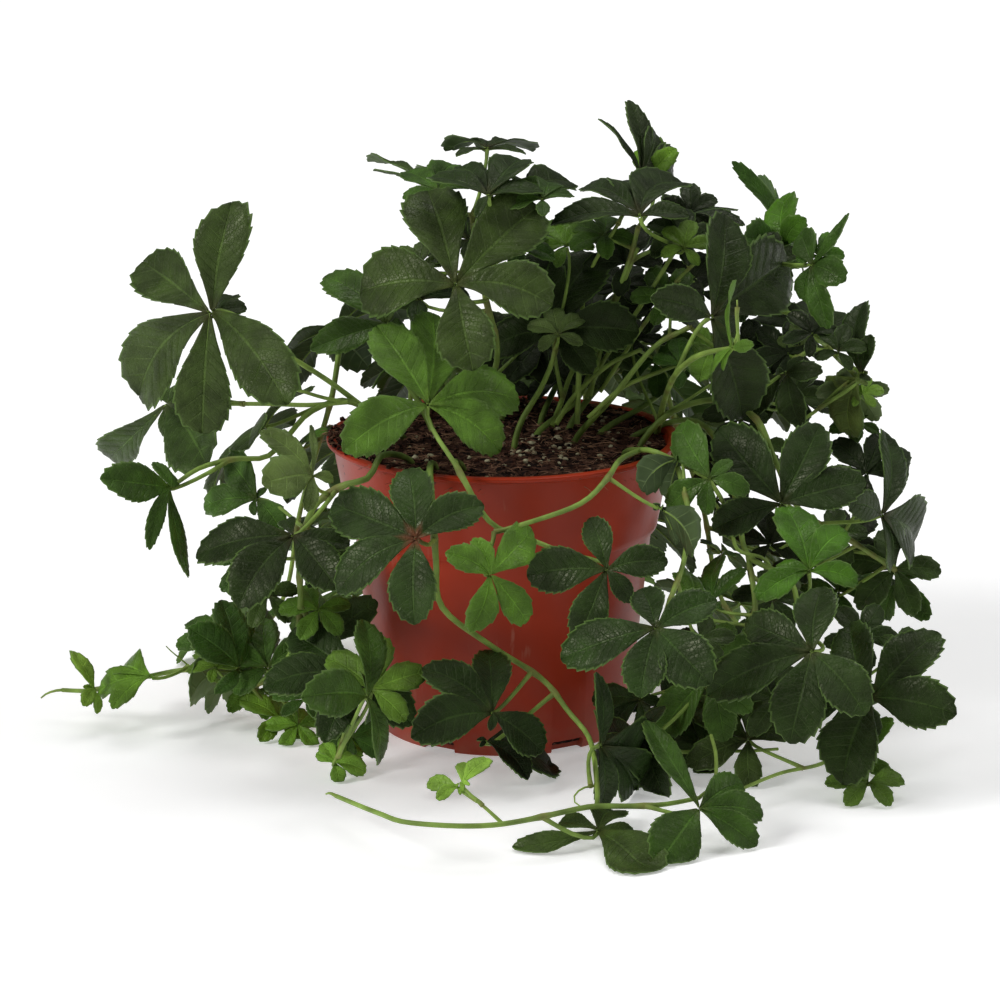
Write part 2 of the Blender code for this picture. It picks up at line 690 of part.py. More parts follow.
def make_soil(roots):
    """The soil: it fills the pot to below the lip and has a hole for every stem."""
    shelf = pot_shelf()[1]
    foot = POT_BASE_RADIUS - POT_WALL - GAP
    waist = POT_BODY_TOP_RADIUS - POT_WALL - GAP
    neck = POT_COLLAR_FOOT_RADIUS - POT_WALL - GAP
    rise = (SOIL_EDGE_HEIGHT - shelf) / (POT_HEIGHT - shelf)
    edge = neck + (POT_COLLAR_TOP_RADIUS - POT_COLLAR_FOOT_RADIUS) * rise
    profile = [(0.0, POT_WALL + GAP), (foot, POT_WALL + GAP), (waist, shelf - 0.002 + GAP)]
    profile += [(neck, shelf + GAP), (edge, SOIL_EDGE_HEIGHT)]
    profile.append((edge * 0.6, soil_height(edge * 0.6, 0.0)))
    profile.append((0.0, soil_height(0.0, 0.0)))
    soil = turned("soil", profile)
    cutters = []
    for x, y in roots:
        ground = soil_height(x, y)
        low, high = ground - SOIL_SINK - GAP, ground + 0.010
        bpy.ops.mesh.primitive_cylinder_add(
            vertices=6, radius=STEM_RADIUS + 0.0012, depth=high - low, location=(x, y, (low + high) / 2))
        cutters.append(bpy.context.active_object)
        cutters[-1].name = "hole_cutter_%d" % len(cutters)
    cut(soil, cutters)
    finish(soil, "soil_peat", (0.045, 0.026, 0.018, 1.0), 0.95)
    return soil


def finish(item, slot, colour, roughness):
    """Give an item its own material, and shade it smooth away from sharp edges."""
    material = bpy.data.materials.new(slot + "_" + item.name)
    material.use_nodes = True
    shader = material.node_tree.nodes["Principled BSDF"]
    shader.inputs["Base Color"].default_value = colour
    shader.inputs["Roughness"].default_value = roughness
    shader.inputs["Metallic"].default_value = 0.0
    item.data.materials.clear()
    item.data.materials.append(material)
    item.data.shade_smooth()
    item.data.set_sharp_from_angle(angle=math.radians(35))


def main():
    """Clear the scene, then make the stems, the pot and the soil."""
    for item in list(bpy.data.objects):
        bpy.data.objects.remove(item)
    roots = []
    for name, (root, shoots, leaves) in STEMS.items():
        stem = stem_route(root, shoots[0])
        routes = [stem] + [branch_route(stem, shoot) for shoot in shoots[1:]]
        routes = [above_floor(route, STEM_RADIUS) for route in routes]
        poses = [(leaf_pose(leaf), leaf.droop) for leaf in leaves]
        finish(leafy_stem(name, routes, poses), "leaf_green", (0.055, 0.115, 0.035, 1.0), 0.45)
        roots.append((root[0] * MM, root[1] * MM))
    draws = random.Random(BACK_SEED)
    for number, turn in enumerate(BACK_TURNS, 1):
        finish(back_stem(number, turn, draws), "leaf_green", (0.055, 0.115, 0.035, 1.0), 0.45)
        angle = math.radians(turn)
        roots.append((math.cos(angle) * BACK_ROOT_RADIUS, math.sin(angle) * BACK_ROOT_RADIUS))
    make_pot()
    make_soil(roots)


if __name__ == "__main__":
    main()
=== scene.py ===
"""The looks of a miniature grape ivy in its pot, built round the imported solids.

Laid out as an add-on: one operator for each group of pieces, whose settings a panel lists. Leaves
and stems stand where a viewer sees them, as pixels of a view one thousand pixels wide, and so far
in front of the pot's axis. Lengths are in metres unless a name says millimetres.
"""

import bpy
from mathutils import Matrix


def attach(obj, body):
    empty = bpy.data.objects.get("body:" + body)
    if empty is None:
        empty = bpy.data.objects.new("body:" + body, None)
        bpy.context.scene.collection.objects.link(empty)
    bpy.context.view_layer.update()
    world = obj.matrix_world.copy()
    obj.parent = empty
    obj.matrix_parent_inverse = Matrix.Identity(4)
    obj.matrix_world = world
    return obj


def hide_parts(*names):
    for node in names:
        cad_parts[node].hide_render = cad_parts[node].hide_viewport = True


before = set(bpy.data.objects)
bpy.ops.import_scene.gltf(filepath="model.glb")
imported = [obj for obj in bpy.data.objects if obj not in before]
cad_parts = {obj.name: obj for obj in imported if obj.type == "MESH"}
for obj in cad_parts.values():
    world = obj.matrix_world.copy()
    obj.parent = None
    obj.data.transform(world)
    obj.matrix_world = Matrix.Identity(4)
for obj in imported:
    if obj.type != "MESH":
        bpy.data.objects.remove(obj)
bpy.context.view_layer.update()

import math
import random

import bmesh
import bpy
import numpy as np
from bpy.props import FloatProperty, FloatVectorProperty, IntProperty, PointerProperty
from mathutils import Matrix, Vector, kdtree, noise

bl_info = {
    "name": "Miniature grape ivy",
    "version": (1, 0, 0),
    "blender": (4, 5, 0),
    "location": "View3D > Sidebar > Grape Ivy",
    "description": "Builds a potted trailing ivy with toothed leaves of five leaflets",
    "category": "Add Mesh",
}

MM = 0.001

# The view that the pixels belong to
VIEW_ELEVATION = math.radians(15.0)
VIEW_DISTANCE = 1.25
VIEW_FOCAL_PIXELS = 3374.0
VIEW_CENTRE_PIXEL = 500.0
RIGHT = Vector((1.0, 0.0, 0.0))
UP = Vector((0.0, math.sin(VIEW_ELEVATION), math.cos(VIEW_ELEVATION)))
FORWARD = Vector((0.0, math.cos(VIEW_ELEVATION), -math.sin(VIEW_ELEVATION)))
EYE = Vector((-0.0011, 0.0, 0.084)) - FORWARD * VIEW_DISTANCE

# Stems, as in the part
STEM_RADIUS = 0.0012
STEM_TIP_RADIUS = 0.0008
BRANCH_SHARE = 0.85
SOIL_SINK = 0.014
SOIL_CLEAR = 0.003
FLOOR_CLEARANCE = 0.0009
STALK_PREFERRED = 0.75
STALK_LEAVES = Vector((0.0, -0.8, -0.6))
STALK_LOWEST = 0.0013
NODE_REACH = 0.0028
ROUTE_STEP = 0.004
ROUTE_PARTS = 12
WISP_STEP = 0.0025

# Leaves: their five leaflets, clockwise, and how far these may stray from the usual
LEAF_LIMITS = (0.007, 0.046)
SMALL_LEAF = 0.026
FULL_LEAF = 0.040
NARROWEST_VIEW = 0.22
LEAFLET_ANGLES = (-127.0, -61.0, 0.0, 61.0, 127.0)
LEAFLET_LENGTHS = (0.80, 0.95, 1.0, 0.95, 0.80)
TURN_STRAY = (40.0, 50.0)
LENGTH_STRAY = ((0.5, 1.45), (0.45, 1.55))
MOST_ROLL = 0.9
HIDDEN_DROOP = 0.3
WIDEST_ROOM = 1.3
LEAFLET_LAYER = 0.0006
LEAFLET_FOOT = 0.03
AIM_ROUNDS = 5
AIM_DAMPING = 0.03
AIM_STEP = 0.8

# A leaflet's outline: half widths at places along it, and the slant of its side veins
LEAFLET_ALONG = (0.0, 0.1, 0.2, 0.3, 0.4, 0.5, 0.6, 0.7, 0.8, 0.88, 0.94, 0.98, 1.0)
LEAFLET_OVAL = (0.09, 0.25, 0.44, 0.64, 0.82, 0.95, 1.0, 0.97, 0.86, 0.68, 0.48, 0.26, 0.02)
LEAFLET_ROUND = (0.09, 0.21, 0.35, 0.51, 0.69, 0.86, 0.98, 1.03, 0.98, 0.84, 0.64, 0.38, 0.03)
LEAFLET_SLANT = 0.78
VEIN_PAIRS = 8

# The colour of a leaf by its age, and how red its hub is. The deep tone is no age but painted shade: a
# near-black green for leaves inside the crown, where shade falls.
TONES = {
    # painted shade: near-black green for the leaves deep inside the crown
    "deep": (0.008, 0.016, 0.004, 0.0),
    "dark": (0.014, 0.030, 0.005, 0.1),
    "mature": (0.032, 0.058, 0.011, 0.1),
    "red": (0.023, 0.046, 0.009, 1.0),
    "vivid": (0.045, 0.125, 0.008, 0.1),
    "mid": (0.033, 0.080, 0.009, 0.1),
    "olive": (0.080, 0.125, 0.030, 0.1),
    "young": (0.085, 0.170, 0.018, 0.1),
    "fresh": (0.110, 0.225, 0.018, 0.0),
    "lime": (0.170, 0.310, 0.035, 0.0),
    "grey": (0.130, 0.165, 0.075, 0.1),
}
ROUND_TONES = ("mature", "olive")


class Leaf:
    """A leaf: the pixel of its hub, and those of its five tips, clockwise from its stalk.

    slim and bow are leaflets' widths and sideways bends, and unseen shortens those without a tip.
    """

    def __init__(self, hub, tips, front=0.0, tone="mature", height=None, droop=0.16, under=False,
                 unseen=0.5, slim=1.0, roll=0.3, sway=0.4, bow=(0.0,) * 5):
        self.hub, self.tips, self.front, self.tone = hub, tips, front, tone
        self.height, self.droop, self.under, self.unseen = height, droop, under, unseen
        self.slim = slim if isinstance(slim, tuple) else (slim,) * 5
        self.roll, self.sway, self.bow = roll, sway, bow


def sprig(x, y, tip_x, tip_y, front=0.0, tone="mid", squash=0.6, height=None, under=False):
    """A small leaf, given by its hub and the tip of its middle leaflet, seen squashed upright."""
    across, down = tip_x - x, (tip_y - y) / squash
    tips = []
    for angle, length in zip(LEAFLET_ANGLES, LEAFLET_LENGTHS):
        c, s = math.cos(math.radians(angle)) * length, math.sin(math.radians(angle)) * length
        tips.append((x + across * c - down * s, y + (across * s + down * c) * squash))
    return Leaf((x, y), tips, front, tone, height, under=under)


# Each stem: where it stands in the soil (millimetres), its routes as (pixel across, pixel down,
# millimetres in front of the axis), and its leaves. The last ones are leaves that only the looks
# have. A sprig is given by its hub and tip in pixels, how far in front it is, tone and squash.
# Leaves and sprigs of the deep tone carry painted shade, for the inside of the crown.
STEMS = {
    "stem_upper_left": ((-36, 6), [
        [(352, 402, 14), (312, 411, 20), (287, 437, 26), (266, 457, 32), (234, 459, 38), (200, 468, 44),
         (174, 485, 52)],
    ], [
        Leaf((211, 312), [(288, 405), (203, 434), (139, 397), (142, 262), (231, 202)], 34, "mature",
            slim=(0.68, 0.93, 0.9, 0.7, 0.92), roll=0.9, droop=0.04, sway=0, bow=(0.8, 0, -0.4, 0.3, -1.1)),
        Leaf((168, 404), [None, (208, 466), None, (109, 458), None], -8, "mature", unseen=0.3,
            slim=(1, 0.9, 1, 0.42, 1), droop=0.04, roll=0.7, sway=0.1, bow=(0, 0, 0, 0.35, 0)),
        Leaf((170, 488), [(189, 575), (150, 550), (100, 479), None, None], 56, "mid", unseen=0.3,
            slim=(0.46, 0.46, 0.85, 1, 1), sway=0, bow=(-1.6, -1.8, 0, 0, 0)),
        Leaf((217, 312), [None, (233, 296), (247, 309), None, None], 8, "dark", unseen=0.3, slim=1.5),
    ]),
    "stem_left": ((-33, -26), [
        [(383, 455, 50), (368, 478, 62), (340, 487, 60), (312, 510, 60), (300, 560, 56), (300, 610, 50),
         (290, 655, 38), (262, 682, 24), (225, 684, 16), (193, 670, 12), (150, 676, 10), (93, 690, 8),
         (62, 690, 7)],
        [(300, 610, 50), (328, 652, 50), (345, 690, 54), (345, 730, 66), (338, 757, 80)],
    ], [
        Leaf((312, 476), [(308, 512), (262, 484), (260, 432), (311, 425), (333, 480)], 84, "olive",
            slim=(0.7, 1.5, 0.8, 0.2, 0.8)),
        Leaf((293, 536), [(350, 545), (338, 590), (238, 608), (196, 556), None], 74, "dark",
            slim=(1, 1, 1.1, 0.95, 1), bow=(0, 0, 0, 0.35, 0)),
        Leaf((257, 499), [(283, 533), None, (204, 508), (227, 458), None], 40, "mid", unseen=0.3,
            slim=(1.3, 1, 0.9, 1.15, 1), bow=(0, 0, 0, -0.5, 0)),
        Leaf((93, 689), [(97, 714), (83, 706), None, (72, 651), None], 18, "lime", unseen=0.25,
            bow=(0, 0, 0, 0.8, 0)),
        Leaf((151, 677), [None, (112, 709), (98, 692), (122, 666), None], 24, "fresh", unseen=0.1,
            slim=0.85, bow=(0, 0, 0, 0.6, 0)),
        Leaf((352, 676), [(413, 725), (325, 743), (263, 688), (290, 633), None], 68, "dark"),
        Leaf((366, 697), [None, (385, 758), (301, 698), (370, 626), None], 98, "mid"),
        Leaf((238, 668), [None, (188, 628), (221, 600), (268, 612), None], 36, "mid"),
        Leaf((326, 646), [None, (292, 618), (312, 594), (378, 602), None], 40, "mature"),
        Leaf((279, 720), [(313, 722), (306, 749), (260, 742), (240, 700), (276, 694)], 0, "fresh", height=6,
            unseen=0.4),
        Leaf((335, 763), [(316, 754), (322, 744), (359, 746), (366, 772), (340, 784)], 0, "lime", height=6,
            slim=1.25),
        Leaf((237, 672), [(237, 708), (208, 714), (190, 698), None, None], 4, "grey", under=True,
            unseen=0.4),
        sprig(216, 642, 189, 622, 30, "mid"), sprig(216, 668, 195, 654, 24, "young"),
        sprig(330, 560, 352, 590, 46, "dark", 0.8), sprig(318, 610, 300, 640, 50, "young", 0.8),
        sprig(268, 596, 252, 628, 44, "mature", 0.9), sprig(372, 690, 381, 636, 84, "young", 0.9),
        sprig(305, 700, 282, 716, 44, "mid"), sprig(352, 738, 384, 756, 60, "mid", 0.8),
        sprig(268, 668, 264, 618, 34, "mid", 0.9), sprig(250, 562, 222, 592, 60, "mid", 0.9),
        sprig(298, 726, 282, 752, 30, "fresh", 0.8), sprig(258, 690, 228, 712, 10, "young", 0.8),
    ]),
    "stem_front": ((-14, -38), [
        [(455, 462, 61), (464, 480, 72), (491, 523, 76), (532, 540, 76), (572, 556, 80)],
    ], [
        Leaf((428, 405), [(343, 452), (376, 326), (432, 313), (519, 400), (500, 452)], 56, "young"),
        Leaf((607, 570), [(668, 562), None, (578, 642), (527, 576), (590, 518)], 92, "dark"),
    ]),
    "stem_front_right": ((44, -14), [
        [(640, 450, 34), (656, 452, 44), (680, 463, 46), (706, 476, 48)],
        [(640, 450, 34), (620, 460, 52), (606, 480, 70), (578, 505, 80), (514, 527, 88), (494, 532, 90)],
        [(680, 463, 46), (688, 510, 64), (684, 560, 84), (670, 600, 98)],
    ], [
        Leaf((710, 479), [(675, 418), None, (750, 492), (708, 515), (668, 510)], 60, "mid"),
        Leaf((490, 575), [(445, 553), (473, 538), (532, 530), (527, 622), (470, 632)], 102, "young"),
        Leaf((656, 629), [(717, 600), (711, 684), (641, 698), (561, 660), (641, 589)], 118, "dark",
            slim=(1.1, 1.2, 1.25, 0.9, 1.2)),
        Leaf((716, 500), [None, (742, 520), (722, 530), None, None], 20, "deep", unseen=0.3),
        Leaf((660, 508), [None, (676, 545), (694, 550), None, None], 72, "deep", unseen=0.2,
            slim=(1, 0.7, 1, 1, 1), roll=0.8),
        Leaf((678, 460), [None, (641, 490), (668, 500), None, None], 50, "deep", unseen=0.3, slim=1.2,
            roll=0.8),
        sprig(700, 640, 722, 664, 84, "mature", 0.8),
    ]),
    "stem_pot_front": ((-24, -36), [
        [(430, 466, 60), (432, 500, 74), (436, 560, 70), (442, 607, 66), (490, 645, 66), (542, 679, 68),
         (568, 711, 80), (590, 740, 92), (597, 785, 122), (597, 806, 137)],
        [(597, 806, 137), (640, 806, 136), (667, 804, 134), (699, 798, 130)],
        [(597, 806, 137), (582, 808, 139), (494, 825, 161), (412, 823, 158), (378, 813, 144),
         (336, 796, 120)],
    ], [
        Leaf((416, 539), [(415, 625), (338, 594), (332, 505), (408, 469), (484, 505)], 95, "red"),
        Leaf((492, 713), [(543, 752), None, (411, 738), (422, 668), (488, 650)], 86, "dark", unseen=0.2,
            slim=(1.3, 1, 1, 1, 1)),
        Leaf((600, 746), [(625, 700), None, (671, 752), (640, 812), (606, 806)], 102, "dark"),
        Leaf((598, 831), [(512, 849), (560, 822), (613, 811), None, (656, 884)], 0, "mature", height=5,
            unseen=0.5, slim=(0.45, 0.85, 1.1, 1, 1.1), sway=0, bow=(0.8, 0, 0, 0, 0)),
        Leaf((699, 809), [(657, 868), (645, 720), (742, 783), (763, 814), (757, 846)], 0, "mid", height=14,
            slim=(1.45, 0.5, 0.9, 0.9, 0.85)),
        Leaf((486, 742), [(556, 774), (528, 780), None, None, None], 80, "deep", unseen=0.1,
            slim=(1.2, 1, 1, 1, 1), roll=0.6),
        Leaf((458, 788), [None, (436, 799), (427, 784), None, None], 151, "lime", unseen=0.3, roll=0.8),
        Leaf((463, 783), [None, (470, 764), (490, 759), None, None], 151, "lime", unseen=0.3, roll=0.8),
    ]),
    "stem_top_left": ((-12, 8), [
        [(497, 360, 4), (486, 300, 6), (476, 250, 6), (472, 215, 4)],
    ], [
        Leaf((456, 285), [(360, 293), (427, 191), (538, 206), (553, 305), (474, 371)], 40, "mature",
            slim=(1.25, 0.92, 1, 1.1, 1.3)),
        Leaf((388, 325), [None, (310, 350), (324, 277), (385, 264), None], 10, "mid", unseen=0.3,
            slim=(1, 0.85, 0.9, 0.9, 1), bow=(0, 0.6, 0, 0, 0)),
        Leaf((487, 149), [(456, 157), (430, 140), (483, 134), (549, 141), (526, 154)], -8, "dark",
            slim=(0.8, 0.6, 0.7, 0.75, 0.8), roll=0),
        Leaf((488, 196), [None, (430, 178), (462, 166), (522, 158), (543, 192)], 28, "dark", slim=0.85,
            roll=0.1),
        Leaf((435, 192), [None, (373, 170), (368, 158), (446, 164), None], -36, "mature", unseen=0.5,
            slim=(1, 0.32, 0.32, 0.9, 1), roll=0),
        sprig(468, 240, 430, 262, 0, "dark", 0.6), sprig(420, 266, 396, 250, 10, "mature", 0.8),
        sprig(515, 250, 552, 236, -6, "mid", 0.5), sprig(420, 300, 372, 280, -4, "dark", 0.5),
        Leaf((520, 332), [(552, 384), (488, 380), (476, 322), (540, 292), (568, 345)], -26, "deep"),
        Leaf((520, 194), [None, (532, 176), (574, 178), None, None], 14, "dark", unseen=0.3,
            slim=(1, 0.8, 0.9, 1, 1), roll=0.8),
        sprig(542, 200, 510, 188, 22, "mid", 0.5), sprig(438, 191, 452, 164, -20, "mid", 0.6),
        sprig(500, 385, 468, 402, -36, "deep", 0.8),
    ]),
    "stem_middle": ((4, -10), [
        [(522, 420, 8), (540, 390, 6), (553, 360, 2), (557, 340, -2)],
    ], [
        Leaf((556, 332), [(488, 352), (512, 262), (597, 254), (639, 332), (592, 374)], -2, "dark",
            slim=1.15),
        sprig(566, 246, 546, 222, -14, "young", 0.8), sprig(545, 338, 506, 384, -24, "deep", 0.8),
        sprig(590, 320, 604, 268, -30, "deep", 0.8), sprig(558, 335, 552, 308, 6, "olive", 0.8),
        sprig(600, 350, 600, 390, -30, "mature", 0.9), sprig(655, 362, 658, 398, -34, "mid", 0.9),
        sprig(560, 380, 528, 400, -42, "deep", 0.7),
    ]),
    "stem_top_middle": ((12, 9), [
        [(580, 395, -22), (602, 330, -18), (628, 265, -12), (638, 228, -10)],
    ], [
        Leaf((640, 216), [(557, 213), (571, 175), (617, 177), (699, 163), (686, 212)], 16, "dark",
            slim=(0.85, 0.7, 1, 0.9, 0.9), bow=(0, 0, 0, 0.5, 0)),
        Leaf((640, 178), [None, (598, 119), (629, 100), (656, 134), (690, 160)], -36, "dark",
            slim=(1, 0.45, 0.5, 0.8, 0.8), roll=0),
        Leaf((650, 186), [None, None, (653, 141), (676, 148), None], -42, "fresh", unseen=0.3, roll=0.8),
        Leaf((672, 232), [None, None, (729, 202), (745, 225), None], -30, "dark"),
        sprig(690, 214, 688, 184, -24, "deep", 0.9), sprig(622, 288, 634, 266, -26, "deep", 0.7),
        sprig(604, 236, 570, 250, -14, "mid", 0.6), sprig(626, 264, 596, 232, -18, "deep", 0.9),
        sprig(684, 240, 648, 224, -6, "dark", 0.8), sprig(684, 248, 692, 221, 4, "young", 0.9),
        sprig(694, 278, 660, 266, -20, "deep", 0.7), sprig(650, 310, 626, 288, -24, "deep", 0.9),
        sprig(700, 292, 672, 300, -26, "dark", 0.7),
    ]),
    "stem_top_right": ((26, 0), [
        [(612, 398, 6), (654, 347, 8), (690, 327, 10)],
    ], [
        Leaf((711, 317), [(650, 298), (724, 214), (787, 260), None, (743, 418)], 26, "dark",
            slim=(1, 1, 1, 1, 1.05)),
        Leaf((733, 348), [(722, 366), (712, 372), None, (736, 279), (754, 345)], 72, "young", unseen=0.3,
            slim=(0.5, 0.6, 1, 0.35, 0.8), roll=0),
        Leaf((714, 350), [None, (700, 382), (676, 366), (688, 344), None], 8, "young", unseen=0.3,
            slim=1.3),
        sprig(680, 366, 710, 350, 10, "mid", 0.8), sprig(742, 350, 754, 320, -20, "deep", 0.9),
        sprig(636, 340, 656, 322, -30, "deep", 0.7), sprig(668, 300, 650, 268, -6, "mid", 0.9),
    ]),
    "stem_right_arch": ((36, 16), [
        [(655, 398, -28), (705, 345, -26), (750, 300, -20), (778, 262, -16)],
        [(750, 300, -20), (800, 318, -14), (830, 350, -8), (856, 376, -4)],
    ], [
        Leaf((779, 252), [(744, 238), (741, 161), (759, 168), (784, 192), (813, 230)], -38, "mid",
            slim=(1.3, 0.2, 0.34, 1, 1), roll=0.1, bow=(0, -1.5, -0.6, 0, 0)),
        Leaf((812, 265), [(800, 234), (849, 213), (846, 281), (829, 329), (806, 302)], 12, "mid",
            slim=(1.3, 0.34, 1.25, 0.8, 1.1), roll=0.5, bow=(0, -1.2, 0, 0, 0)),
        Leaf((811, 340), [(768, 364), (756, 318), (815, 303), (852, 318), (848, 346)], -36, "dark"),
        Leaf((862, 374), [None, (864, 303), (870, 334), None, None], 2, "dark", unseen=0.2,
            slim=(1, 0.8, 0.9, 1, 1), roll=1, bow=(0, -0.5, 0, 0, 0)),
        sprig(764, 256, 780, 236, -30, "deep", 0.9), sprig(812, 334, 788, 314, 0, "deep", 0.9),
        sprig(838, 352, 848, 326, 4, "dark", 0.9), sprig(788, 354, 758, 328, -14, "deep", 0.9),
        sprig(800, 346, 793, 322, -16, "olive", 1), sprig(862, 394, 884, 391, 0, "lime", 0.8),
        sprig(818, 256, 832, 234, 6, "vivid", 0.9),
        Leaf((786, 248), [None, (772, 212), (787, 194), (806, 218), None], -30, "vivid", unseen=0.3,
            slim=1.2, roll=0.6),
        Leaf((858, 378), [None, None, (852, 437), (838, 404), None], 0, "olive", unseen=0.25, slim=1.2,
            roll=0.8),
        sprig(856, 394, 836, 424, -10, "grey", 0.8, under=True), sprig(858, 424, 829, 432, -10, "mid", 0.7),
        sprig(742, 300, 715, 282, -30, "dark", 0.8), sprig(800, 352, 772, 374, -26, "deep", 0.9),
        sprig(790, 400, 814, 366, -22, "mature", 0.9), sprig(778, 404, 770, 370, -28, "dark", 0.8),
        sprig(770, 264, 772, 232, -20, "dark", 0.9), sprig(774, 262, 748, 290, -24, "mid", 0.9),
        sprig(800, 400, 832, 412, -30, "deep", 0.8),
    ]),
    "stem_right": ((50, -2), [
        [(672, 412, 2), (720, 400, 10), (757, 420, 20), (775, 460, 26), (800, 510, 20), (850, 540, 8),
         (895, 570, 0)],
    ], [
        Leaf((781, 504), [(713, 530), (718, 430), (820, 424), (866, 481), None], 50, "dark"),
        Leaf((881, 515), [(848, 503), (884, 431), (904, 448), (931, 549), (892, 567)], 24, "dark",
            slim=(1, 1.1, 0.32, 1.1, 1.1), bow=(0, 0, 0, -0.45, 0)),
        Leaf((787, 374), [None, (823, 372), (800, 426), (756, 412), None], 4, "dark"),
        Leaf((898, 582), [None, (924, 559), (929, 620), (886, 620), None], -20, "mid"),
        sprig(770, 545, 762, 510, 10, "deep", 0.9), sprig(866, 474, 832, 442, 10, "deep", 0.9),
        sprig(802, 562, 768, 548, 0, "deep", 0.7), sprig(895, 570, 858, 610, -8, "mature", 0.9),
        sprig(846, 542, 876, 520, -16, "deep", 0.9), sprig(838, 592, 868, 562, -10, "mid", 0.8),
        sprig(740, 470, 700, 440, -18, "deep", 0.9), sprig(738, 420, 716, 448, 0, "dark", 0.9),
        sprig(826, 536, 850, 566, -6, "mature", 0.8), sprig(760, 446, 736, 470, 6, "mature", 0.9),
    ]),
    "stem_right_low": ((47, 10), [
        [(690, 420, -14), (722, 450, -8), (738, 510, 16), (748, 555, 36), (790, 580, 52), (800, 620, 66),
         (822, 670, 60), (850, 715, 58), (862, 745, 62)],
        [(748, 555, 36), (755, 610, 52), (742, 660, 60), (706, 684, 66)],
    ], [
        Leaf((809, 571), [(757, 600), None, (785, 507), (846, 531), (858, 584)], 86, "vivid"),
        Leaf((812, 652), [(866, 715), (790, 744), (708, 696), (746, 622), (822, 587)], 109, "dark",
            slim=(1.1, 1.15, 0.9, 1.05, 1.1)),
        Leaf((871, 699), [None, (850, 624), (938, 632), (957, 714), (843, 785)], 84, "dark",
            slim=(1, 0.85, 1.1, 1.1, 1.35), bow=(0, 0, -0.35, 0, 0)),
        Leaf((868, 757), [(893, 718), (894, 790), (858, 810), (835, 792), None], 0, "young", height=4),
        Leaf((712, 676), [(765, 640), (752, 712), (725, 742), (662, 735), None], 70, "mid"),
        Leaf((640, 700), [None, (652, 746), (608, 732), (592, 700), None], 50, "dark"),
        Leaf((712, 602), [None, None, (722, 554), (746, 569), None], 42, "mid", unseen=0.3, slim=0.8),
        Leaf((690, 606), [None, None, (672, 573), (688, 571), None], 44, "young", unseen=0.3, slim=1.2),
        sprig(735, 654, 762, 628, 66, "mid", 0.8), sprig(745, 694, 718, 738, 50, "dark", 0.9),
        sprig(662, 704, 698, 742, 44, "dark", 0.8), sprig(868, 784, 846, 808, 0, "young", 0.6, height=6),
        sprig(772, 600, 748, 632, 40, "dark", 0.9), sprig(858, 640, 880, 606, 50, "dark", 0.9),
        sprig(690, 776, 676, 742, 60, "mid", 0.9),
        Leaf((644, 738), [(668, 802), (628, 812), (598, 772), (606, 734), None], 76, "deep", unseen=0.6),
        sprig(702, 748, 656, 720, 60, "dark", 0.9), sprig(748, 740, 690, 704, 72, "mature", 0.9),
        sprig(714, 692, 688, 660, 56, "mature", 0.9), sprig(738, 664, 752, 620, 40, "dark", 0.9),
        sprig(700, 654, 716, 626, 30, "deep", 0.9), sprig(842, 706, 832, 752, 62, "dark", 0.9),
        sprig(900, 655, 936, 652, 60, "mature", 0.8), sprig(776, 700, 800, 740, 76, "mature", 0.9),
    ]),
}


def held(value, low, high):
    """A number kept between two others."""
    return min(max(value, low), high)


def sight_line(pixel):
    """Direction of the line from the eye through a pixel."""
    across, down = ((p - VIEW_CENTRE_PIXEL) / VIEW_FOCAL_PIXELS for p in pixel)
    return FORWARD + RIGHT * across - UP * down


def spot(pixel, front_mm):
    """The point seen at a pixel that lies so far in front of the pot's axis."""
    line = sight_line(pixel)
    return EYE + line * ((-front_mm * MM - EYE.y) / line.y)


def spots(rows):
    """The points of a route whose rows are pixel across, pixel down and millimetres in front."""
    return [spot((across, down), front) for across, down, front in rows]


def spot_at_height(pixel, height_mm):
    """The point seen at a pixel that lies at a height above the surface."""
    line = sight_line(pixel)
    return EYE + line * ((height_mm * MM - EYE.z) / line.z)


def pixel_of(point):
    """The pixel at which a point is seen."""
    line = point - EYE
    scale = VIEW_FOCAL_PIXELS / line.dot(FORWARD)
    return VIEW_CENTRE_PIXEL + line.dot(RIGHT) * scale, VIEW_CENTRE_PIXEL - line.dot(UP) * scale


def smooth_route(points, step):
    """Points a step apart along a smooth curve through the given ones."""
    ends = [points[0] * 2 - points[1]] + list(points) + [points[-1] * 2 - points[-2]]
    dense = []
    for a, b, c, d in zip(ends, ends[1:], ends[2:], ends[3:]):
        for k in range(ROUTE_PARTS):
            t = k / ROUTE_PARTS
            dense.append(0.5 * (2 * b + (c - a) * t + (2 * a - 5 * b + 4 * c - d) * t * t
                                + (3 * b - a - 3 * c + d) * t ** 3))
    dense.append(points[-1])
    lengths = [0.0]
    for p, q in zip(dense, dense[1:]):
        lengths.append(lengths[-1] + (q - p).length)
    count = max(2, round(lengths[-1] / step))
    route, k = [], 0
    for i in range(count + 1):
        want = lengths[-1] * i / count
        while k < len(dense) - 2 and lengths[k + 1] < want:
            k += 1
        share = (want - lengths[k]) / max(lengths[k + 1] - lengths[k], 1e-9)
        route.append(dense[k].lerp(dense[k + 1], held(share, 0.0, 1.0)))
    return route


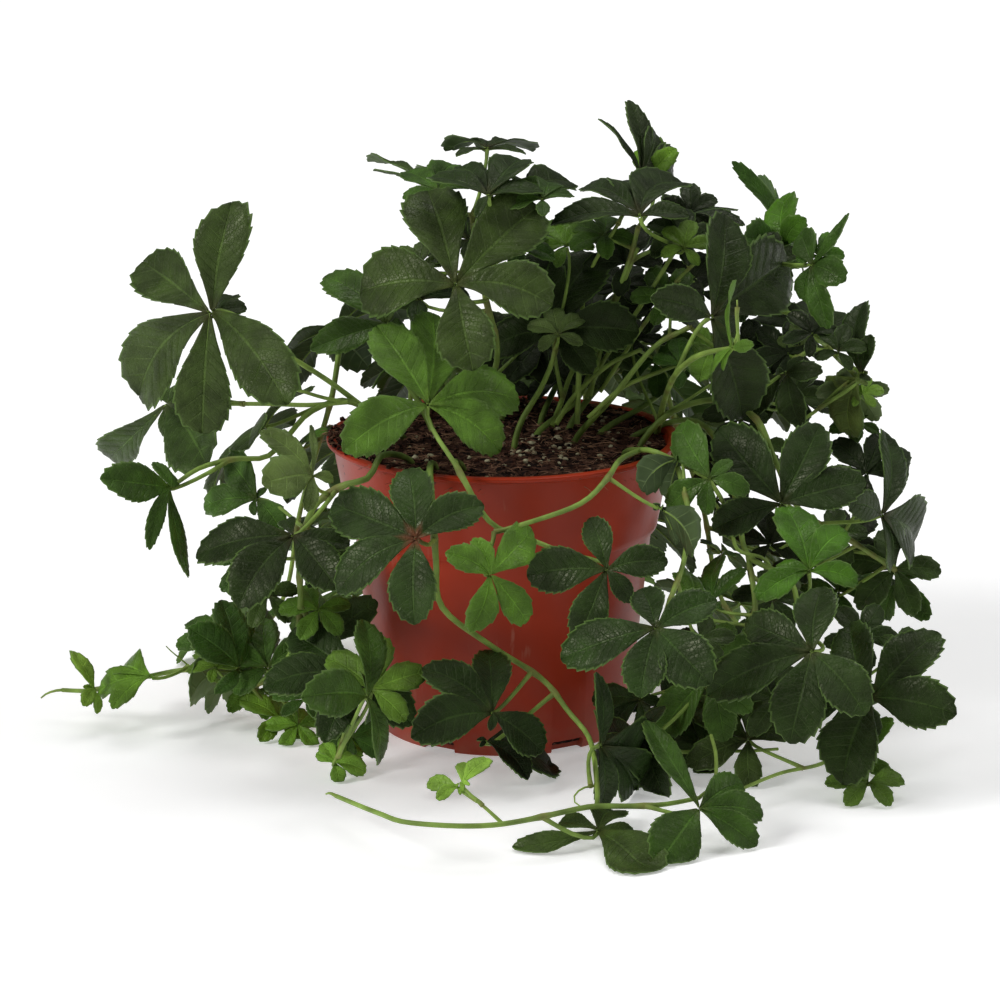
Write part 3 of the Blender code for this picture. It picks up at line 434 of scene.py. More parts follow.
def leaf_pose(leaf):
    """The hub, the leaf's own axes, its size, and the turn and length of each leaflet."""
    if leaf.height is None:
        hub = spot(leaf.hub, leaf.front)
    else:
        hub = spot_at_height(leaf.hub, leaf.height)
    scale = (hub - EYE).dot(FORWARD) / VIEW_FOCAL_PIXELS
    order = range(4, -1, -1) if leaf.under else range(5)
    seen = {i: np.array([(tip[0] - leaf.hub[0]) * scale, (leaf.hub[1] - tip[1]) * scale])
            for tip, i in zip(leaf.tips, order) if tip is not None}
    flat = []
    for i in seen:
        turn = math.radians(LEAFLET_ANGLES[i])
        flat.append([LEAFLET_LENGTHS[i] * math.sin(turn), LEAFLET_LENGTHS[i] * math.cos(turn)])
    fit = np.linalg.lstsq(np.array(flat), np.array(list(seen.values())), rcond=None)[0].T
    u, s, vt = np.linalg.svd(fit)
    size = held(s[0], *LEAF_LIMITS)
    narrow = held(s[1] / s[0], NARROWEST_VIEW, 1.0)
    tilt = math.sqrt(1.0 - narrow ** 2)
    choices = []
    for sign in (1.0, -1.0):
        rows = []
        for w in vt.T:
            plane = u @ np.array([w[0], narrow * w[1]])
            row = RIGHT * plane[0] + UP * plane[1] - FORWARD * (sign * tilt * w[1])
            rows.append(row.normalized())
        choices.append((*rows, rows[0].cross(rows[1])))
    axes = max(choices, key=lambda rows: rows[2].z)
    back = np.linalg.inv(fit)
    sunk = np.array([axes[2].dot(RIGHT), axes[2].dot(UP)])
    turns, lengths = list(LEAFLET_ANGLES), [size * r for r in LEAFLET_LENGTHS]
    for i, usual in enumerate(LEAFLET_ANGLES):
        if i in seen:
            own = back @ (seen[i] + leaf.droop * lengths[i] * sunk)
            turn = math.degrees(math.atan2(own[0], own[1]))
            turns[i] = held(turn, usual - TURN_STRAY[0], usual + TURN_STRAY[0])
            share = math.hypot(own[0], own[1]) / LEAFLET_LENGTHS[i]
            lengths[i] *= held(share, *LENGTH_STRAY[0])
        else:
            lengths[i] *= leaf.unseen
    return hub, Matrix(axes).transposed(), size, turns, lengths


def soil_height(x, y):
    """Height of the soil's surface before its crumbs and hollows."""
    soil = bpy.context.scene.ivy_soil
    share = min(1.0, math.hypot(x, y) / soil.radius)
    return soil.edge_height + soil.mound * (1.0 - share * share)


def rooted_route(root, after, step, upright=False):
    """A route that comes up out of its hole and runs smoothly through the other points."""
    ground = soil_height(*root)
    foot = Vector((*root, ground - SOIL_SINK * 0.9))
    if upright:
        return [foot] + smooth_route([Vector((*root, ground + SOIL_CLEAR))] + after, step)
    return smooth_route([foot, Vector((*root, ground))] + after, step)


def branch_route(parent, rows):
    """A branch's route, from the nearest point of the stem that carries it."""
    after = spots(rows)
    start = min(parent, key=lambda p: (p - after[0]).length)
    return smooth_route([start] + after[1:], ROUTE_STEP)


def above_floor(route, radius):
    """The same route with no point closer to the surface than a radius and a little."""
    lowest = radius + FLOOR_CLEARANCE / 2
    return [Vector((p.x, p.y, max(p.z, lowest))) for p in route]


def stalk_foot(pose, routes):
    """Where a leaf's stalk meets its stem, and the way in which it leaves the stem."""
    hub, axes, size = pose[:3]
    back = (axes @ STALK_LEAVES).normalized()
    best = None
    for route in routes:
        for k, point in enumerate(route):
            if point.z < FLOOR_CLEARANCE or (k < 5 and route is routes[0]):
                continue
            cost = abs((point - hub).length - STALK_PREFERRED * size) / size
            cost += 0.5 * (1.0 - (point - hub).normalized().dot(back))
            if best is None or cost < best[0]:
                ahead = (route[min(k + 1, len(route) - 1)] - route[max(k - 1, 0)]).normalized()
                out = hub - point
                best = (cost, point, out - ahead * out.dot(ahead) * 0.5)
    return best[1:]


def deselect_all():
    """Leave edit mode, and leave nothing selected."""
    if bpy.context.mode != "OBJECT":
        bpy.ops.object.mode_set(mode="OBJECT")
    bpy.ops.object.select_all(action="DESELECT")


def only(item):
    """Leave edit mode, and have just one item selected and active."""
    deselect_all()
    item.select_set(True)
    bpy.context.view_layer.objects.active = item


def each_corner(item, change):
    """Change the vertices of an item in edit mode, one by one."""
    shape = bmesh.from_edit_mesh(item.data)
    for corner in shape.verts:
        change(corner)
    bmesh.update_edit_mesh(item.data)


def pick(item, test):
    """Select just those vertices of an item in edit mode that pass a test."""
    shape = bmesh.from_edit_mesh(item.data)
    for corner in shape.verts:
        corner.select = test(corner)
    shape.select_flush_mode()
    bmesh.update_edit_mesh(item.data)


def apply_all(item):
    """Apply every modifier of an item."""
    only(item)
    for modifier in list(item.modifiers):
        bpy.ops.object.modifier_apply(modifier=modifier.name)


def smooth(item, degrees):
    """Shade an item smooth away from edges sharper than an angle."""
    only(item)
    bpy.ops.object.shade_smooth_by_angle(angle=math.radians(degrees))


def mesh_item(name, points, faces):
    """One object of many shapes, given by their points and by the corners of their faces."""
    starts = np.cumsum([0] + [len(own) for own in points])
    corners = [own + start for own, start in zip(faces, starts)]
    mesh = bpy.data.meshes.new(name)
    mesh.from_pydata(np.concatenate(points).tolist(), [], np.concatenate(corners).tolist())
    mesh.shade_smooth()
    item = bpy.data.objects.new(name, mesh)
    bpy.context.scene.collection.objects.link(item)
    return item


def leaflet_rows(teeth, widest, outline):
    """Rows across a leaflet as (where it meets the midrib, half width), three to each tooth."""
    tips = [0.30 + 0.64 * (k / (teeth - 1)) ** 0.86 for k in range(teeth)]
    edges = [0.0, 0.055, 0.115, 0.185]
    for k, tip in enumerate(tips):
        start = edges[-1] if k == 0 else tips[k - 1]
        edges += [start + (tip - start) * share for share in (0.22, 0.66, 1.0)]
    edges += [0.962, 0.983, 1.0]
    rows = []
    for edge in edges:
        half = widest * float(np.interp(edge, LEAFLET_ALONG, outline))
        rows.append((edge - LEAFLET_SLANT * half, half))
    return rows


def make_leaflet(name, teeth, across, depth, outline):
    """A flat toothed leaflet one unit long: a grid drawn in row by row along its side veins."""
    leaf = bpy.context.scene.ivy_leaf
    rows = leaflet_rows(teeth, leaf.half_width, outline)
    steps = len(rows) - 1
    deselect_all()
    bpy.ops.mesh.primitive_grid_add(x_subdivisions=2 * across, y_subdivisions=steps, size=1.0)
    item = bpy.context.object
    item.name = name
    place = [(round((corner.co.x + 0.5) * 2 * across) - across, round((corner.co.y + 0.5) * steps))
             for corner in item.data.vertices]
    bpy.ops.object.mode_set(mode="EDIT")
    bpy.ops.mesh.select_mode(type="VERT")
    for number, (start, half) in enumerate(rows):
        level = number / steps - 0.5
        pick(item, lambda corner: place[corner.index][1] == number)
        bpy.ops.transform.resize(value=(2 * half, 1, 1), center_override=(0, level, 0))
        bpy.ops.transform.translate(value=(0, start - level, 0))

    def slant(corner):
        corner.co.y += LEAFLET_SLANT * abs(corner.co.x)

    each_corner(item, slant)
    tips = range(6, steps - 2, 3)
    for side in (-1, 1):
        for after, out, ahead in ((0, depth * 0.7, depth), (1, -depth * 0.55, -depth * 0.5)):
            pick(item, lambda c: place[c.index][0] == side * across
                 and place[c.index][1] - after in tips)
            bpy.ops.transform.translate(value=(side * out, ahead, 0))
    for on_vein, rise in ((False, leaf.quilting), (True, -leaf.quilting * 0.5)):
        pick(item, lambda c: 0 < abs(place[c.index][0]) < across
             and (place[c.index][1] % 3 == 0) == on_vein)
        bpy.ops.transform.translate(value=(0, 0, rise))
    bpy.ops.object.mode_set(mode="OBJECT")
    for uv in item.data.uv_layers.active.data:
        uv.uv.y *= (teeth + 2) / VEIN_PAIRS
    return item


def read_blade(item):
    """A master leaflet's points, its four-cornered faces and their UVs, as arrays."""
    mesh = item.data
    points = np.array([c.co for c in mesh.vertices])
    faces = np.array([list(p.vertices) for p in mesh.polygons])
    uvs = np.array([tuple(u.uv) for u in mesh.uv_layers.active.data])
    return points, faces, uvs


def bend_leaflet(blade, turn, length, room, droop, swing, slim, roll, draws):
    """Points of a leaflet in its leaf's own frame: folded, drooped, waved and turned out."""
    leaf = bpy.context.scene.ivy_leaf
    x, y, z = blade.T
    width = min(1.0, 0.98 * math.tan(room / 2) / leaf.half_width) * draws.uniform(0.92, 1.06) * slim
    fold = leaf.fold * draws.uniform(0.6, 1.4)
    wave = leaf.wave * draws.uniform(0.4, 1.3)
    phase, side = draws.uniform(0, 6.3), draws.uniform(-0.6, 0.6)
    across = x * width + 0.05 * draws.uniform(-1, 1) * np.sin(math.pi * y)
    edge = np.abs(x) / leaf.half_width
    rise = (fold * np.abs(x) * (1.25 - 0.55 * edge)) * width + z
    rise = rise + wave * edge ** 2 * np.sin(9.0 * y + phase + np.sign(x) * side * 3)
    rise = rise + x * y * draws.uniform(-0.35, 0.35)
    c, s = math.cos(roll), math.sin(roll)
    across, rise = across * c - rise * s, across * s + rise * c
    rise = rise - droop * y ** 2 + draws.uniform(0.2, 0.9) * 0.06 * np.sin(math.pi * y)
    reach = LEAFLET_FOOT + y * (1 - LEAFLET_FOOT)
    swing += draws.uniform(-0.15, 0.15)
    a = math.radians(turn) + swing * (reach - 0.5)
    mid = math.radians(turn) + swing * (reach / 2 - 0.5)
    right = reach * np.sin(mid) + across * np.cos(a)
    ahead = reach * np.cos(mid) - across * np.sin(a)
    return np.stack([right, ahead, rise], axis=1) * length


def roll_to_view(axes, turn):
    """How far a leaflet would have to roll about its midrib to show its whole width."""
    along = axes @ Vector((math.sin(turn), math.cos(turn), 0.0))
    normal = axes.col[2]
    square = along * FORWARD.dot(along) - FORWARD
    if normal.dot(square) < 0:
        square = -square
    angle = math.atan2(normal.cross(square).dot(along), normal.dot(square))
    return -held(angle, -MOST_ROLL, MOST_ROLL)


def aimed_leaflet(pose, leaf, i, points, room, droop, swing, draws):
    """A leaflet placed in the scene, its turn and length set so that its tip is seen at its pixel."""
    hub, axes, size, turns, lengths = pose
    slot = 4 - i if leaf.under else i
    turn, length = turns[i], lengths[i]
    nominal = size * LEAFLET_LENGTHS[i]
    x_axis, y_axis = axes.col[0], axes.col[1]
    seen = np.array([[x_axis.dot(RIGHT), y_axis.dot(RIGHT)], [x_axis.dot(UP), y_axis.dot(UP)]])
    back = seen.T @ np.linalg.inv(seen @ seen.T + AIM_DAMPING * np.eye(2))
    aim = leaf.tips[slot] if leaf.tips else None
    kept = draws.getstate()
    for _ in range(AIM_ROUNDS if aim else 1):
        draws.setstate(kept)
        roll = leaf.roll * roll_to_view(axes, math.radians(turn)) if leaf.tips else 0.0
        own = bend_leaflet(points, turn, length, room, droop, swing, leaf.slim[slot], roll, draws)
        own[:, 2] += LEAFLET_LAYER * (i % 2)
        world = own @ np.array(axes).T + np.array(hub)
        if aim:
            tip = Vector(world[int(np.argmax(points[:, 1]))])
            pixel = pixel_of(tip)
            scale = (tip - EYE).dot(FORWARD) / VIEW_FOCAL_PIXELS
            shift = back @ np.array([(aim[0] - pixel[0]) * scale, (pixel[1] - aim[1]) * scale]) * AIM_STEP
            across = length * math.sin(math.radians(turn)) + shift[0]
            ahead = length * math.cos(math.radians(turn)) + shift[1]
            want = math.degrees(math.atan2(across, ahead))
            off = (want - LEAFLET_ANGLES[i] + 180) % 360 - 180
            turn = LEAFLET_ANGLES[i] + held(off, -TURN_STRAY[1], TURN_STRAY[1])
            length = held(math.hypot(across, ahead), *(share * nominal for share in LENGTH_STRAY[1]))
    return world


def leaf_blades(pose, leaf, blade, draws):
    """Points, faces, UVs and tones of a leaf's five leaflets, and the line of each midrib."""
    axes, turns = pose[1], pose[3]
    points, faces, uvs = blade
    tone = np.array(TONES[leaf.tone])
    tint = draws.uniform(0.86, 1.16)
    shift = np.array([draws.uniform(0.93, 1.08), 1.0, draws.uniform(0.9, 1.1)])
    made, ribs = [], []
    for i in range(5):
        slot = 4 - i if leaf.under else i
        near = [math.radians(abs(turns[i] - turns[j])) for j in (i - 1, i + 1) if 0 <= j < 5]
        a = math.radians(turns[i])
        swing = leaf.sway * (axes.col[1].z * math.sin(a) - axes.col[0].z * math.cos(a))
        swing += leaf.bow[slot]
        behind = leaf.tips is not None and leaf.tips[slot] is None
        droop = leaf.droop + (HIDDEN_DROOP if behind else 0.0)
        world = aimed_leaflet(pose, leaf, i, points, min(near + [WIDEST_ROOM]), droop, swing, draws)
        world[:, 2] = np.maximum(world[:, 2], FLOOR_CLEARANCE + 0.0002)
        colour = np.append(tone[:3] * tint * shift * draws.uniform(0.93, 1.07), tone[3])
        made.append((world, faces, uvs, np.tile(colour, (len(points), 1))))
        ribs.append(rib_line(points, world))
    return made, ribs


def rib_line(points, world):
    """The placed points along a leaflet's midrib, from its base to half its length."""
    middle = np.where((np.abs(points[:, 0]) < 1e-6) & (points[:, 1] < 0.62))[0]
    middle = middle[np.argsort(points[middle, 1])]
    return [Vector(world[k]) for k in middle]


def blade_mesh(name, parts):
    """One mesh of many leaflets, with their UVs and tones."""
    points, faces, uvs, tones = zip(*parts)
    item = mesh_item(name, points, faces)
    layer = item.data.uv_layers.new(name="UVMap")
    layer.data.foreach_set("uv", np.concatenate(uvs).astype(np.float32).ravel())
    tone = item.data.attributes.new("tone", "FLOAT_COLOR", "POINT")
    tone.data.foreach_set("color", np.concatenate(tones).astype(np.float32).ravel())
    return item


def thicken(item):
    """Give the blades their thickness and a lower side of its own material."""
    solid = item.modifiers.new("Thickness", "SOLIDIFY")
    solid.thickness = bpy.context.scene.ivy_leaf.blade_thickness
    solid.offset = 0.0
    solid.material_offset = 1
    solid.material_offset_rim = 0
    apply_all(item)


def stem_tone(share, node, draws):
    """A stem's colour: light green, browner and redder at its nodes."""
    green = Vector(bpy.context.scene.ivy_stem.colour)
    red = Vector(bpy.context.scene.ivy_stem.node_colour)
    colour = green * (0.8 + 0.45 * share)
    return colour.lerp(red, min(1.0, node)) * draws.uniform(0.9, 1.1)


class Strand:
    """A tube to be made: its points, their radii in millimetres and their colours."""

    def __init__(self, points, radii, colours):
        self.points = points
        self.radii = radii
        self.colours = colours


def stem_strand(route, thick, nodes, draws):
    """A stem's strand, swollen and reddened where leaf stalks leave it."""
    radii, colours = [], []
    for k, point in enumerate(route):
        share = k / (len(route) - 1)
        near = min([(point - n).length for n in nodes] or [1.0])
        swell = math.exp(-(near / NODE_REACH) ** 2)
        radius = thick + (STEM_TIP_RADIUS - thick) * share ** 1.5
        radii.append(radius * (1.0 + 0.30 * swell) / MM)
        colours.append(stem_tone(share, 0.55 * swell, draws))
    return Strand(route, radii, colours)


def stalk_strand(pose, foot, out, red, draws):
    """A leaf stalk: it leaves the stem, arches, and meets its leaf's hub from behind."""
    hub, axes, size = pose[:3]
    start = hub + axes @ Vector((0.0, -0.0004, -0.0005))
    reach = (foot - start).length
    leave = (axes @ STALK_LEAVES).normalized()
    arrive = out.normalized()
    a, b, c, d = start, start + leave * reach * 0.24, foot + arrive * reach * 0.24, foot
    points, radii, colours = [], [], []
    steps = held(int(reach / ROUTE_STEP), 6, 14)
    thick = 0.55 + 0.35 * min(1.0, size / FULL_LEAF)
    for k in range(steps + 1):
        t = k / steps
        p = a * (1 - t) ** 3 + b * 3 * t * (1 - t) ** 2 + c * 3 * t * t * (1 - t) + d * t ** 3
        points.append(Vector((p.x, p.y, max(p.z, STALK_LOWEST))))
        flare = math.exp(-((1 - t) * reach / 0.003) ** 2)
        radii.append(thick * (0.86 + 0.12 * t + 0.35 * flare + 0.25 * (k == 0)))
        colours.append(stem_tone(0.7, red * math.exp(-t * 9) + 0.5 * flare, draws))
    return Strand(points, radii, colours)


def rib_strand(rib, pose, red, draws):
    """A leaflet's small stalk and the raised rib under its blade."""
    axes, size = pose[1:3]
    down = axes @ Vector((0.0, 0.0, -0.00025))
    points, radii, colours = [], [], []
    for k, p in enumerate(rib):
        share = k / (len(rib) - 1)
        points.append(p + down)
        radii.append((0.20 + 0.30 * min(1.0, size / FULL_LEAF)) * (1.0 - 0.75 * share) + 0.06)
        colours.append(stem_tone(0.6, red * (1.0 - share) ** 3, draws))
    return Strand(points, radii, colours)


def tube_object(name, strands, material, resolution=2):
    """A mesh of tubes, made from one curve object that holds every strand."""
    deselect_all()
    bpy.ops.curve.primitive_nurbs_path_add()
    item = bpy.context.object
    item.name = name
    curve = item.data
    curve.splines.clear()
    curve.bevel_depth = MM
    curve.bevel_resolution = resolution
    curve.use_fill_caps = True
    tree = kdtree.KDTree(sum(len(s.points) for s in strands))
    colours = []
    for strand in strands:
        line = curve.splines.new("POLY")
        line.points.add(len(strand.points) - 1)
        rows = zip(line.points, strand.points, strand.radii, strand.colours)
        for point, place, radius, colour in rows:
            point.co = (*place, 1.0)
            point.radius = radius
            tree.insert(place, len(colours))
            colours.append((*colour, 0.0))
    tree.balance()
    item.select_set(True)
    bpy.ops.object.convert(target="MESH")
    item = bpy.context.object
    mesh = item.data
    while mesh.uv_layers:
        mesh.uv_layers.remove(mesh.uv_layers[0])
    tone = mesh.attributes.new("tone", "FLOAT_COLOR", "POINT")
    for k, corner in enumerate(mesh.vertices):
        tone.data[k].color = colours[tree.find(corner.co)[1]]
    mesh.shade_smooth()
    mesh.materials.append(material)
    return item


def join(items, name):
    """One object of several, named, at the origin."""
    deselect_all()
    for item in items:
        item.select_set(True)
    bpy.context.view_layer.objects.active = items[0]
    bpy.ops.object.join()
    joined = bpy.context.object
    joined.name = name
    joined.data.name = name
    return joined


def settle(item, node):
    """Put a finished piece on the pot's body, in place of its solid."""
    only(item)
    bpy.ops.object.transform_apply(location=True, rotation=True, scale=True)
    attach(item, "root")
    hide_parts(node)


def dress_stem(node, routes, leaves, wisps, masters, materials):
    """A leafy stem: tubes for its shoots, stalks and ribs, and bent blades for its leaves."""
    oval, rounded, small = masters
    draws = random.Random(node)
    feet, stalks, blades, ribs = [], [], [], []
    for leaf, pose in leaves:
        size, red = pose[2], TONES[leaf.tone][3]
        foot, out = stalk_foot(pose, routes + [strand.points for strand in wisps])
        feet.append(foot)
        stalks.append(stalk_strand(pose, foot, out, red, draws))
        master = small if size < SMALL_LEAF else rounded if leaf.tone in ROUND_TONES else oval
        made, lines = leaf_blades(pose, leaf, master, draws)
        blades += made
        ribs += [rib_strand(line, pose, red, draws) for line in lines]
    shoots = []
    for number, route in enumerate(routes):
        thick = STEM_RADIUS if number == 0 else STEM_RADIUS * BRANCH_SHARE
        shoots.append(stem_strand(route, thick, feet, draws))
    blade = blade_mesh(node + "_blades", blades)
    for material in materials[:2]:
        blade.data.materials.append(material)
    thicken(blade)
    tubes = tube_object(node + "_shoots", shoots + stalks + wisps, materials[2])
    thin = tube_object(node + "_ribs", ribs, materials[2], 0)
    settle(join([blade, tubes, thin], node + "_foliage"), node)


class Surface:
    """A material in the making: its shader, its other nodes, and the place that is shaded."""

    def __init__(self, name, colour):
        self.material = bpy.data.materials.new(name)
        self.material.use_nodes = True
        self.material.diffuse_color = (*colour[:3], 1.0)
        self.tree = self.material.node_tree
        self.shader = self.tree.nodes["Principled BSDF"]
        self.place = self.put("TexCoord").outputs["Object"]

    def feed(self, node, inputs):
        """Give a node's inputs their values, or link them to sockets."""
        for key, value in inputs.items():
            socket = node.inputs[key]
            if isinstance(value, bpy.types.NodeSocket):
                self.tree.links.new(value, socket)
            else:
                socket.default_value = (*value, 1.0) if socket.type == "RGBA" else value

    def put(self, kind, inputs=None, **settings):
        """Add a shader node with its settings and inputs."""
        made = self.tree.nodes.new("ShaderNode" + kind)
        for key, value in settings.items():
            setattr(made, key, value)
        self.feed(made, inputs or {})
        return made

    def finish(self, inputs):
        """Feed the shader, and give the material."""
        self.feed(self.shader, inputs)
        return self.material

    def math(self, operation, a, b=0.0):
        """The outcome of an operation on one or two numbers."""
        return self.put("Math", {0: a, 1: b}, operation=operation).outputs[0]

    def times(self, a, b):
        """Two numbers multiplied."""
        return self.math("MULTIPLY", a, b)

    def gather(self, operation, *terms):
        """Numbers brought together, each first multiplied by its weight."""
        parts = [number if weight == 1 else self.times(number, weight) for number, weight in terms]
        result = parts[0]
        for part in parts[1:]:
            result = self.math(operation, result, part)
        return result

    def ramp(self, value, low, high, start=0.0, end=1.0):
        """A number carried from one range to another and held inside it."""
        inputs = {"Value": value, "From Min": low, "From Max": high, "To Min": start, "To Max": end}
        return self.put("MapRange", inputs, interpolation_type="SMOOTHSTEP").outputs[0]

    def mix(self, share, a, b, how="MIX"):
        """Two colours mixed."""
        return self.put("Mix", {0: share, 6: a, 7: b}, data_type="RGBA", blend_type=how).outputs[2]

    def shaded(self, colour, light):
        """A colour multiplied by a number."""
        grey = self.put("CombineColor", {0: light, 1: light, 2: light}).outputs[0]
        return self.mix(1.0, colour, grey, "MULTIPLY")

    def cloud(self, scale, detail=2.0, place=None):
        """Cloudy variation at a scale, in steps to the metre."""
        inputs = {"Vector": place or self.place, "Scale": scale, "Detail": detail}
        return self.put("TexNoise", inputs).outputs["Fac"]

    def cells(self, scale, feature="F1"):
        """The outputs of a pattern of cells at a scale."""
        return self.put("TexVoronoi", {"Vector": self.place, "Scale": scale}, feature=feature).outputs

    def bump(self, height, distance, strength=1.0):
        """Raise and lower the surface's shading by a height."""
        made = self.put("Bump", {"Height": height, "Distance": distance, "Strength": strength})
        self.feed(self.shader, {"Normal": made.outputs[0]})


def blade_marks(made):
    """A leaflet's marks: nearness to its midrib, its side veins, its edge and its base."""
    uv = made.put("SeparateXYZ", {0: made.put("UVMap", uv_map="UVMap").outputs[0]}).outputs
    across = made.times(made.math("ABSOLUTE", made.math("SUBTRACT", uv[0], 0.5)), 2.0)
    wave = made.math("FRACT", made.times(uv[1], float(VEIN_PAIRS)))
    near = made.math("ABSOLUTE", made.math("SUBTRACT", wave, 0.5))
    vein = made.times(made.ramp(near, 0.40, 0.49), made.ramp(across, 0.2, 1.0, 1.0, 0.25))
    vein = made.times(vein, made.ramp(uv[1], 0.14, 0.24))
    edge = made.times(made.ramp(across, 0.90, 0.99), made.ramp(uv[1], 0.2, 0.4))
    return made.ramp(across, 0.015, 0.075, 1.0, 0.0), vein, edge, made.ramp(uv[1], 0.02, 0.16, 1.0, 0.0)


def leaf_upper_material():
    """The upper side of a leaf: deep green with fine pale veins, a pale edge and a satin gloss."""
    made = Surface("leaf_upper", TONES["mature"])
    tone = made.put("Attribute", attribute_name="tone").outputs
    rib, vein, edge, base = blade_marks(made)
    net = made.ramp(made.cells(800.0, "DISTANCE_TO_EDGE")["Distance"], 0.0, 0.10, 1.0, 0.0)
    fine = made.cloud(900.0)
    patches = made.ramp(made.cloud(95.0, 3.0), 0.32, 0.72, 0.62, 1.42)
    body = made.shaded(tone["Color"], made.gather("ADD", (patches, 1), (fine, 0.22)))
    pale = made.mix(1.0, body, (1.7, 1.7, 1.6), "MULTIPLY")
    pale = made.mix(1.0, pale, (0.016, 0.024, 0.008), "ADD")
    marks = made.gather("MAXIMUM", (vein, 0.52), (rib, 0.85), (net, 0.18))
    colour = made.mix(made.times(edge, 0.75), made.mix(marks, body, pale), (0.115, 0.200, 0.045))
    colour = made.mix(made.times(base, tone["Alpha"]), colour, (0.13, 0.045, 0.02))
    made.bump(made.gather("ADD", (fine, 0.35), (vein, -0.5), (rib, -0.6), (net, -0.30),
                          (made.cloud(130.0), 1.1)), 0.0004)
    return made.finish({
        "Base Color": colour, "Roughness": made.ramp(made.cloud(110.0, 3.0), 0.32, 0.68, 0.34, 0.58),
        "IOR": 1.45, "Specular IOR Level": 0.30, "Specular Tint": (1.0, 1.0, 0.74),
    })


def leaf_lower_material():
    """The lower side of a leaf: paler, greyer and duller, with raised veins."""
    made = Surface("leaf_lower", TONES["grey"])
    tone = made.put("Attribute", attribute_name="tone").outputs["Color"]
    rib, vein = blade_marks(made)[:2]
    cloud = made.ramp(made.cloud(120.0, 3.0), 0.3, 0.7, 0.25, 0.5)
    body = made.mix(cloud, made.mix(1.0, tone, (1.25, 1.3, 1.1), "MULTIPLY"), (0.105, 0.165, 0.055))
    marks = made.gather("MAXIMUM", (vein, 0.4), (rib, 0.7))
    colour = made.mix(marks, body, (0.17, 0.25, 0.09))
    made.bump(made.math("ADD", vein, rib), 0.0003, 0.7)
    return made.finish({"Base Color": colour, "Roughness": 0.62, "Specular IOR Level": 0.28})


def stem_material():
    """The skin of stems and stalks: uneven, with small pale corky dots."""
    made = Surface("stem_skin", (0.10, 0.15, 0.05))
    tone = made.put("Attribute", attribute_name="tone").outputs["Color"]
    body = made.shaded(tone, made.ramp(made.cloud(130.0, 3.0), 0.3, 0.7, 0.72, 1.25))
    dots = made.ramp(made.cells(900.0)["Distance"], 0.10, 0.22, 0.35, 0.0)
    colour = made.mix(dots, body, (0.24, 0.22, 0.12))
    made.bump(made.cloud(1400.0), 0.0002, 0.6)
    return made.finish({"Base Color": colour, "Roughness": 0.50, "Specular IOR Level": 0.28,
                        "Specular Tint": (1.0, 1.0, 0.75)})


def pot_material():
    """Moulded plastic: satin, a little faded, with dull scuffs, drag lines and soil specks."""
    plain = bpy.context.scene.ivy_pot.colour
    made = Surface("pot_plastic", plain)
    height = made.put("SeparateXYZ", {0: made.place}).outputs[2]
    cloud = made.cloud(26.0, 4.0)
    colour = made.mix(made.ramp(cloud, 0.3, 0.7), [c * 0.88 for c in plain], [c * 1.10 for c in plain])
    long = made.put("Mapping", {"Vector": made.place, "Scale": (1.0, 1.0, 0.14)}).outputs[0]
    drag = made.ramp(made.cloud(420.0, 3.0, long), 0.60, 0.74)
    scuff = made.times(drag, made.ramp(made.cloud(34.0), 0.50, 0.68))
    colour = made.mix(made.times(scuff, 0.34), colour, (0.50, 0.24, 0.17))
    low = made.ramp(height, 0.0, 0.030, 0.26, 0.0)
    dust = made.times(low, made.ramp(made.cloud(75.0, 4.0), 0.35, 0.7))
    colour = made.mix(dust, colour, (0.30, 0.17, 0.11))
    specks = made.cells(330.0)
    chance = made.put("SeparateColor", {0: specks["Color"]}).outputs[0]
    few = made.ramp(height, 0.06, POT_HEIGHT, 0.985, 0.90)
    speck = made.times(made.math("GREATER_THAN", chance, few),
                       made.ramp(specks["Distance"], 0.12, 0.24, 1.0, 0.0))
    colour = made.mix(made.times(speck, 0.8), colour, (0.075, 0.030, 0.018))
    rough = made.gather("ADD", (made.ramp(cloud, 0.3, 0.7, 0.30, 0.40), 1), (scuff, 0.25))
    made.bump(made.gather("ADD", (made.cloud(700.0), 1), (speck, 3.0)), 0.00008, 0.5)
    return made.finish({"Base Color": colour, "Roughness": rough, "IOR": 1.49, "Specular IOR Level": 0.24})


def peat_material():
    """Damp peat: dark red-brown, broken into light and dark crumbs."""
    made = Surface("soil_peat", (0.045, 0.026, 0.018))
    cells = made.cells(520.0)
    value = made.put("SeparateColor", {0: cells["Color"]}).outputs[1]
    grain = made.cloud(1300.0, 3.0)
    share = made.ramp(made.gather("ADD", (value, 0.6), (grain, 0.5)), 0.30, 0.95)
    colour = made.mix(share, (0.007, 0.0032, 0.0026), (0.120, 0.055, 0.036))
    made.bump(made.math("ADD", grain, cells["Distance"]), 0.0009)
    return made.finish({"Base Color": colour, "Roughness": 0.92, "Specular IOR Level": 0.12})


def fibre_material():
    """Coarse fibres in the peat, from dark brown to straw."""
    made = Surface("soil_fibre", (0.12, 0.06, 0.04))
    share = made.ramp(made.cloud(170.0), 0.36, 0.66)
    colour = made.mix(share, (0.050, 0.017, 0.010), (0.40, 0.23, 0.14))
    return made.finish({"Base Color": colour, "Roughness": 0.85, "Specular IOR Level": 0.12})


def perlite_material():
    """Perlite: off-white, pitted and stained a little by the peat."""
    made = Surface("soil_perlite", (0.6, 0.57, 0.48))
    stain = made.ramp(made.cloud(420.0, 3.0), 0.40, 0.75)
    made.bump(made.cloud(1500.0), 0.0004, 0.8)
    colour = made.mix(stain, (0.55, 0.52, 0.33), (0.24, 0.17, 0.09))
    return made.finish({"Base Color": colour, "Roughness": 0.9})


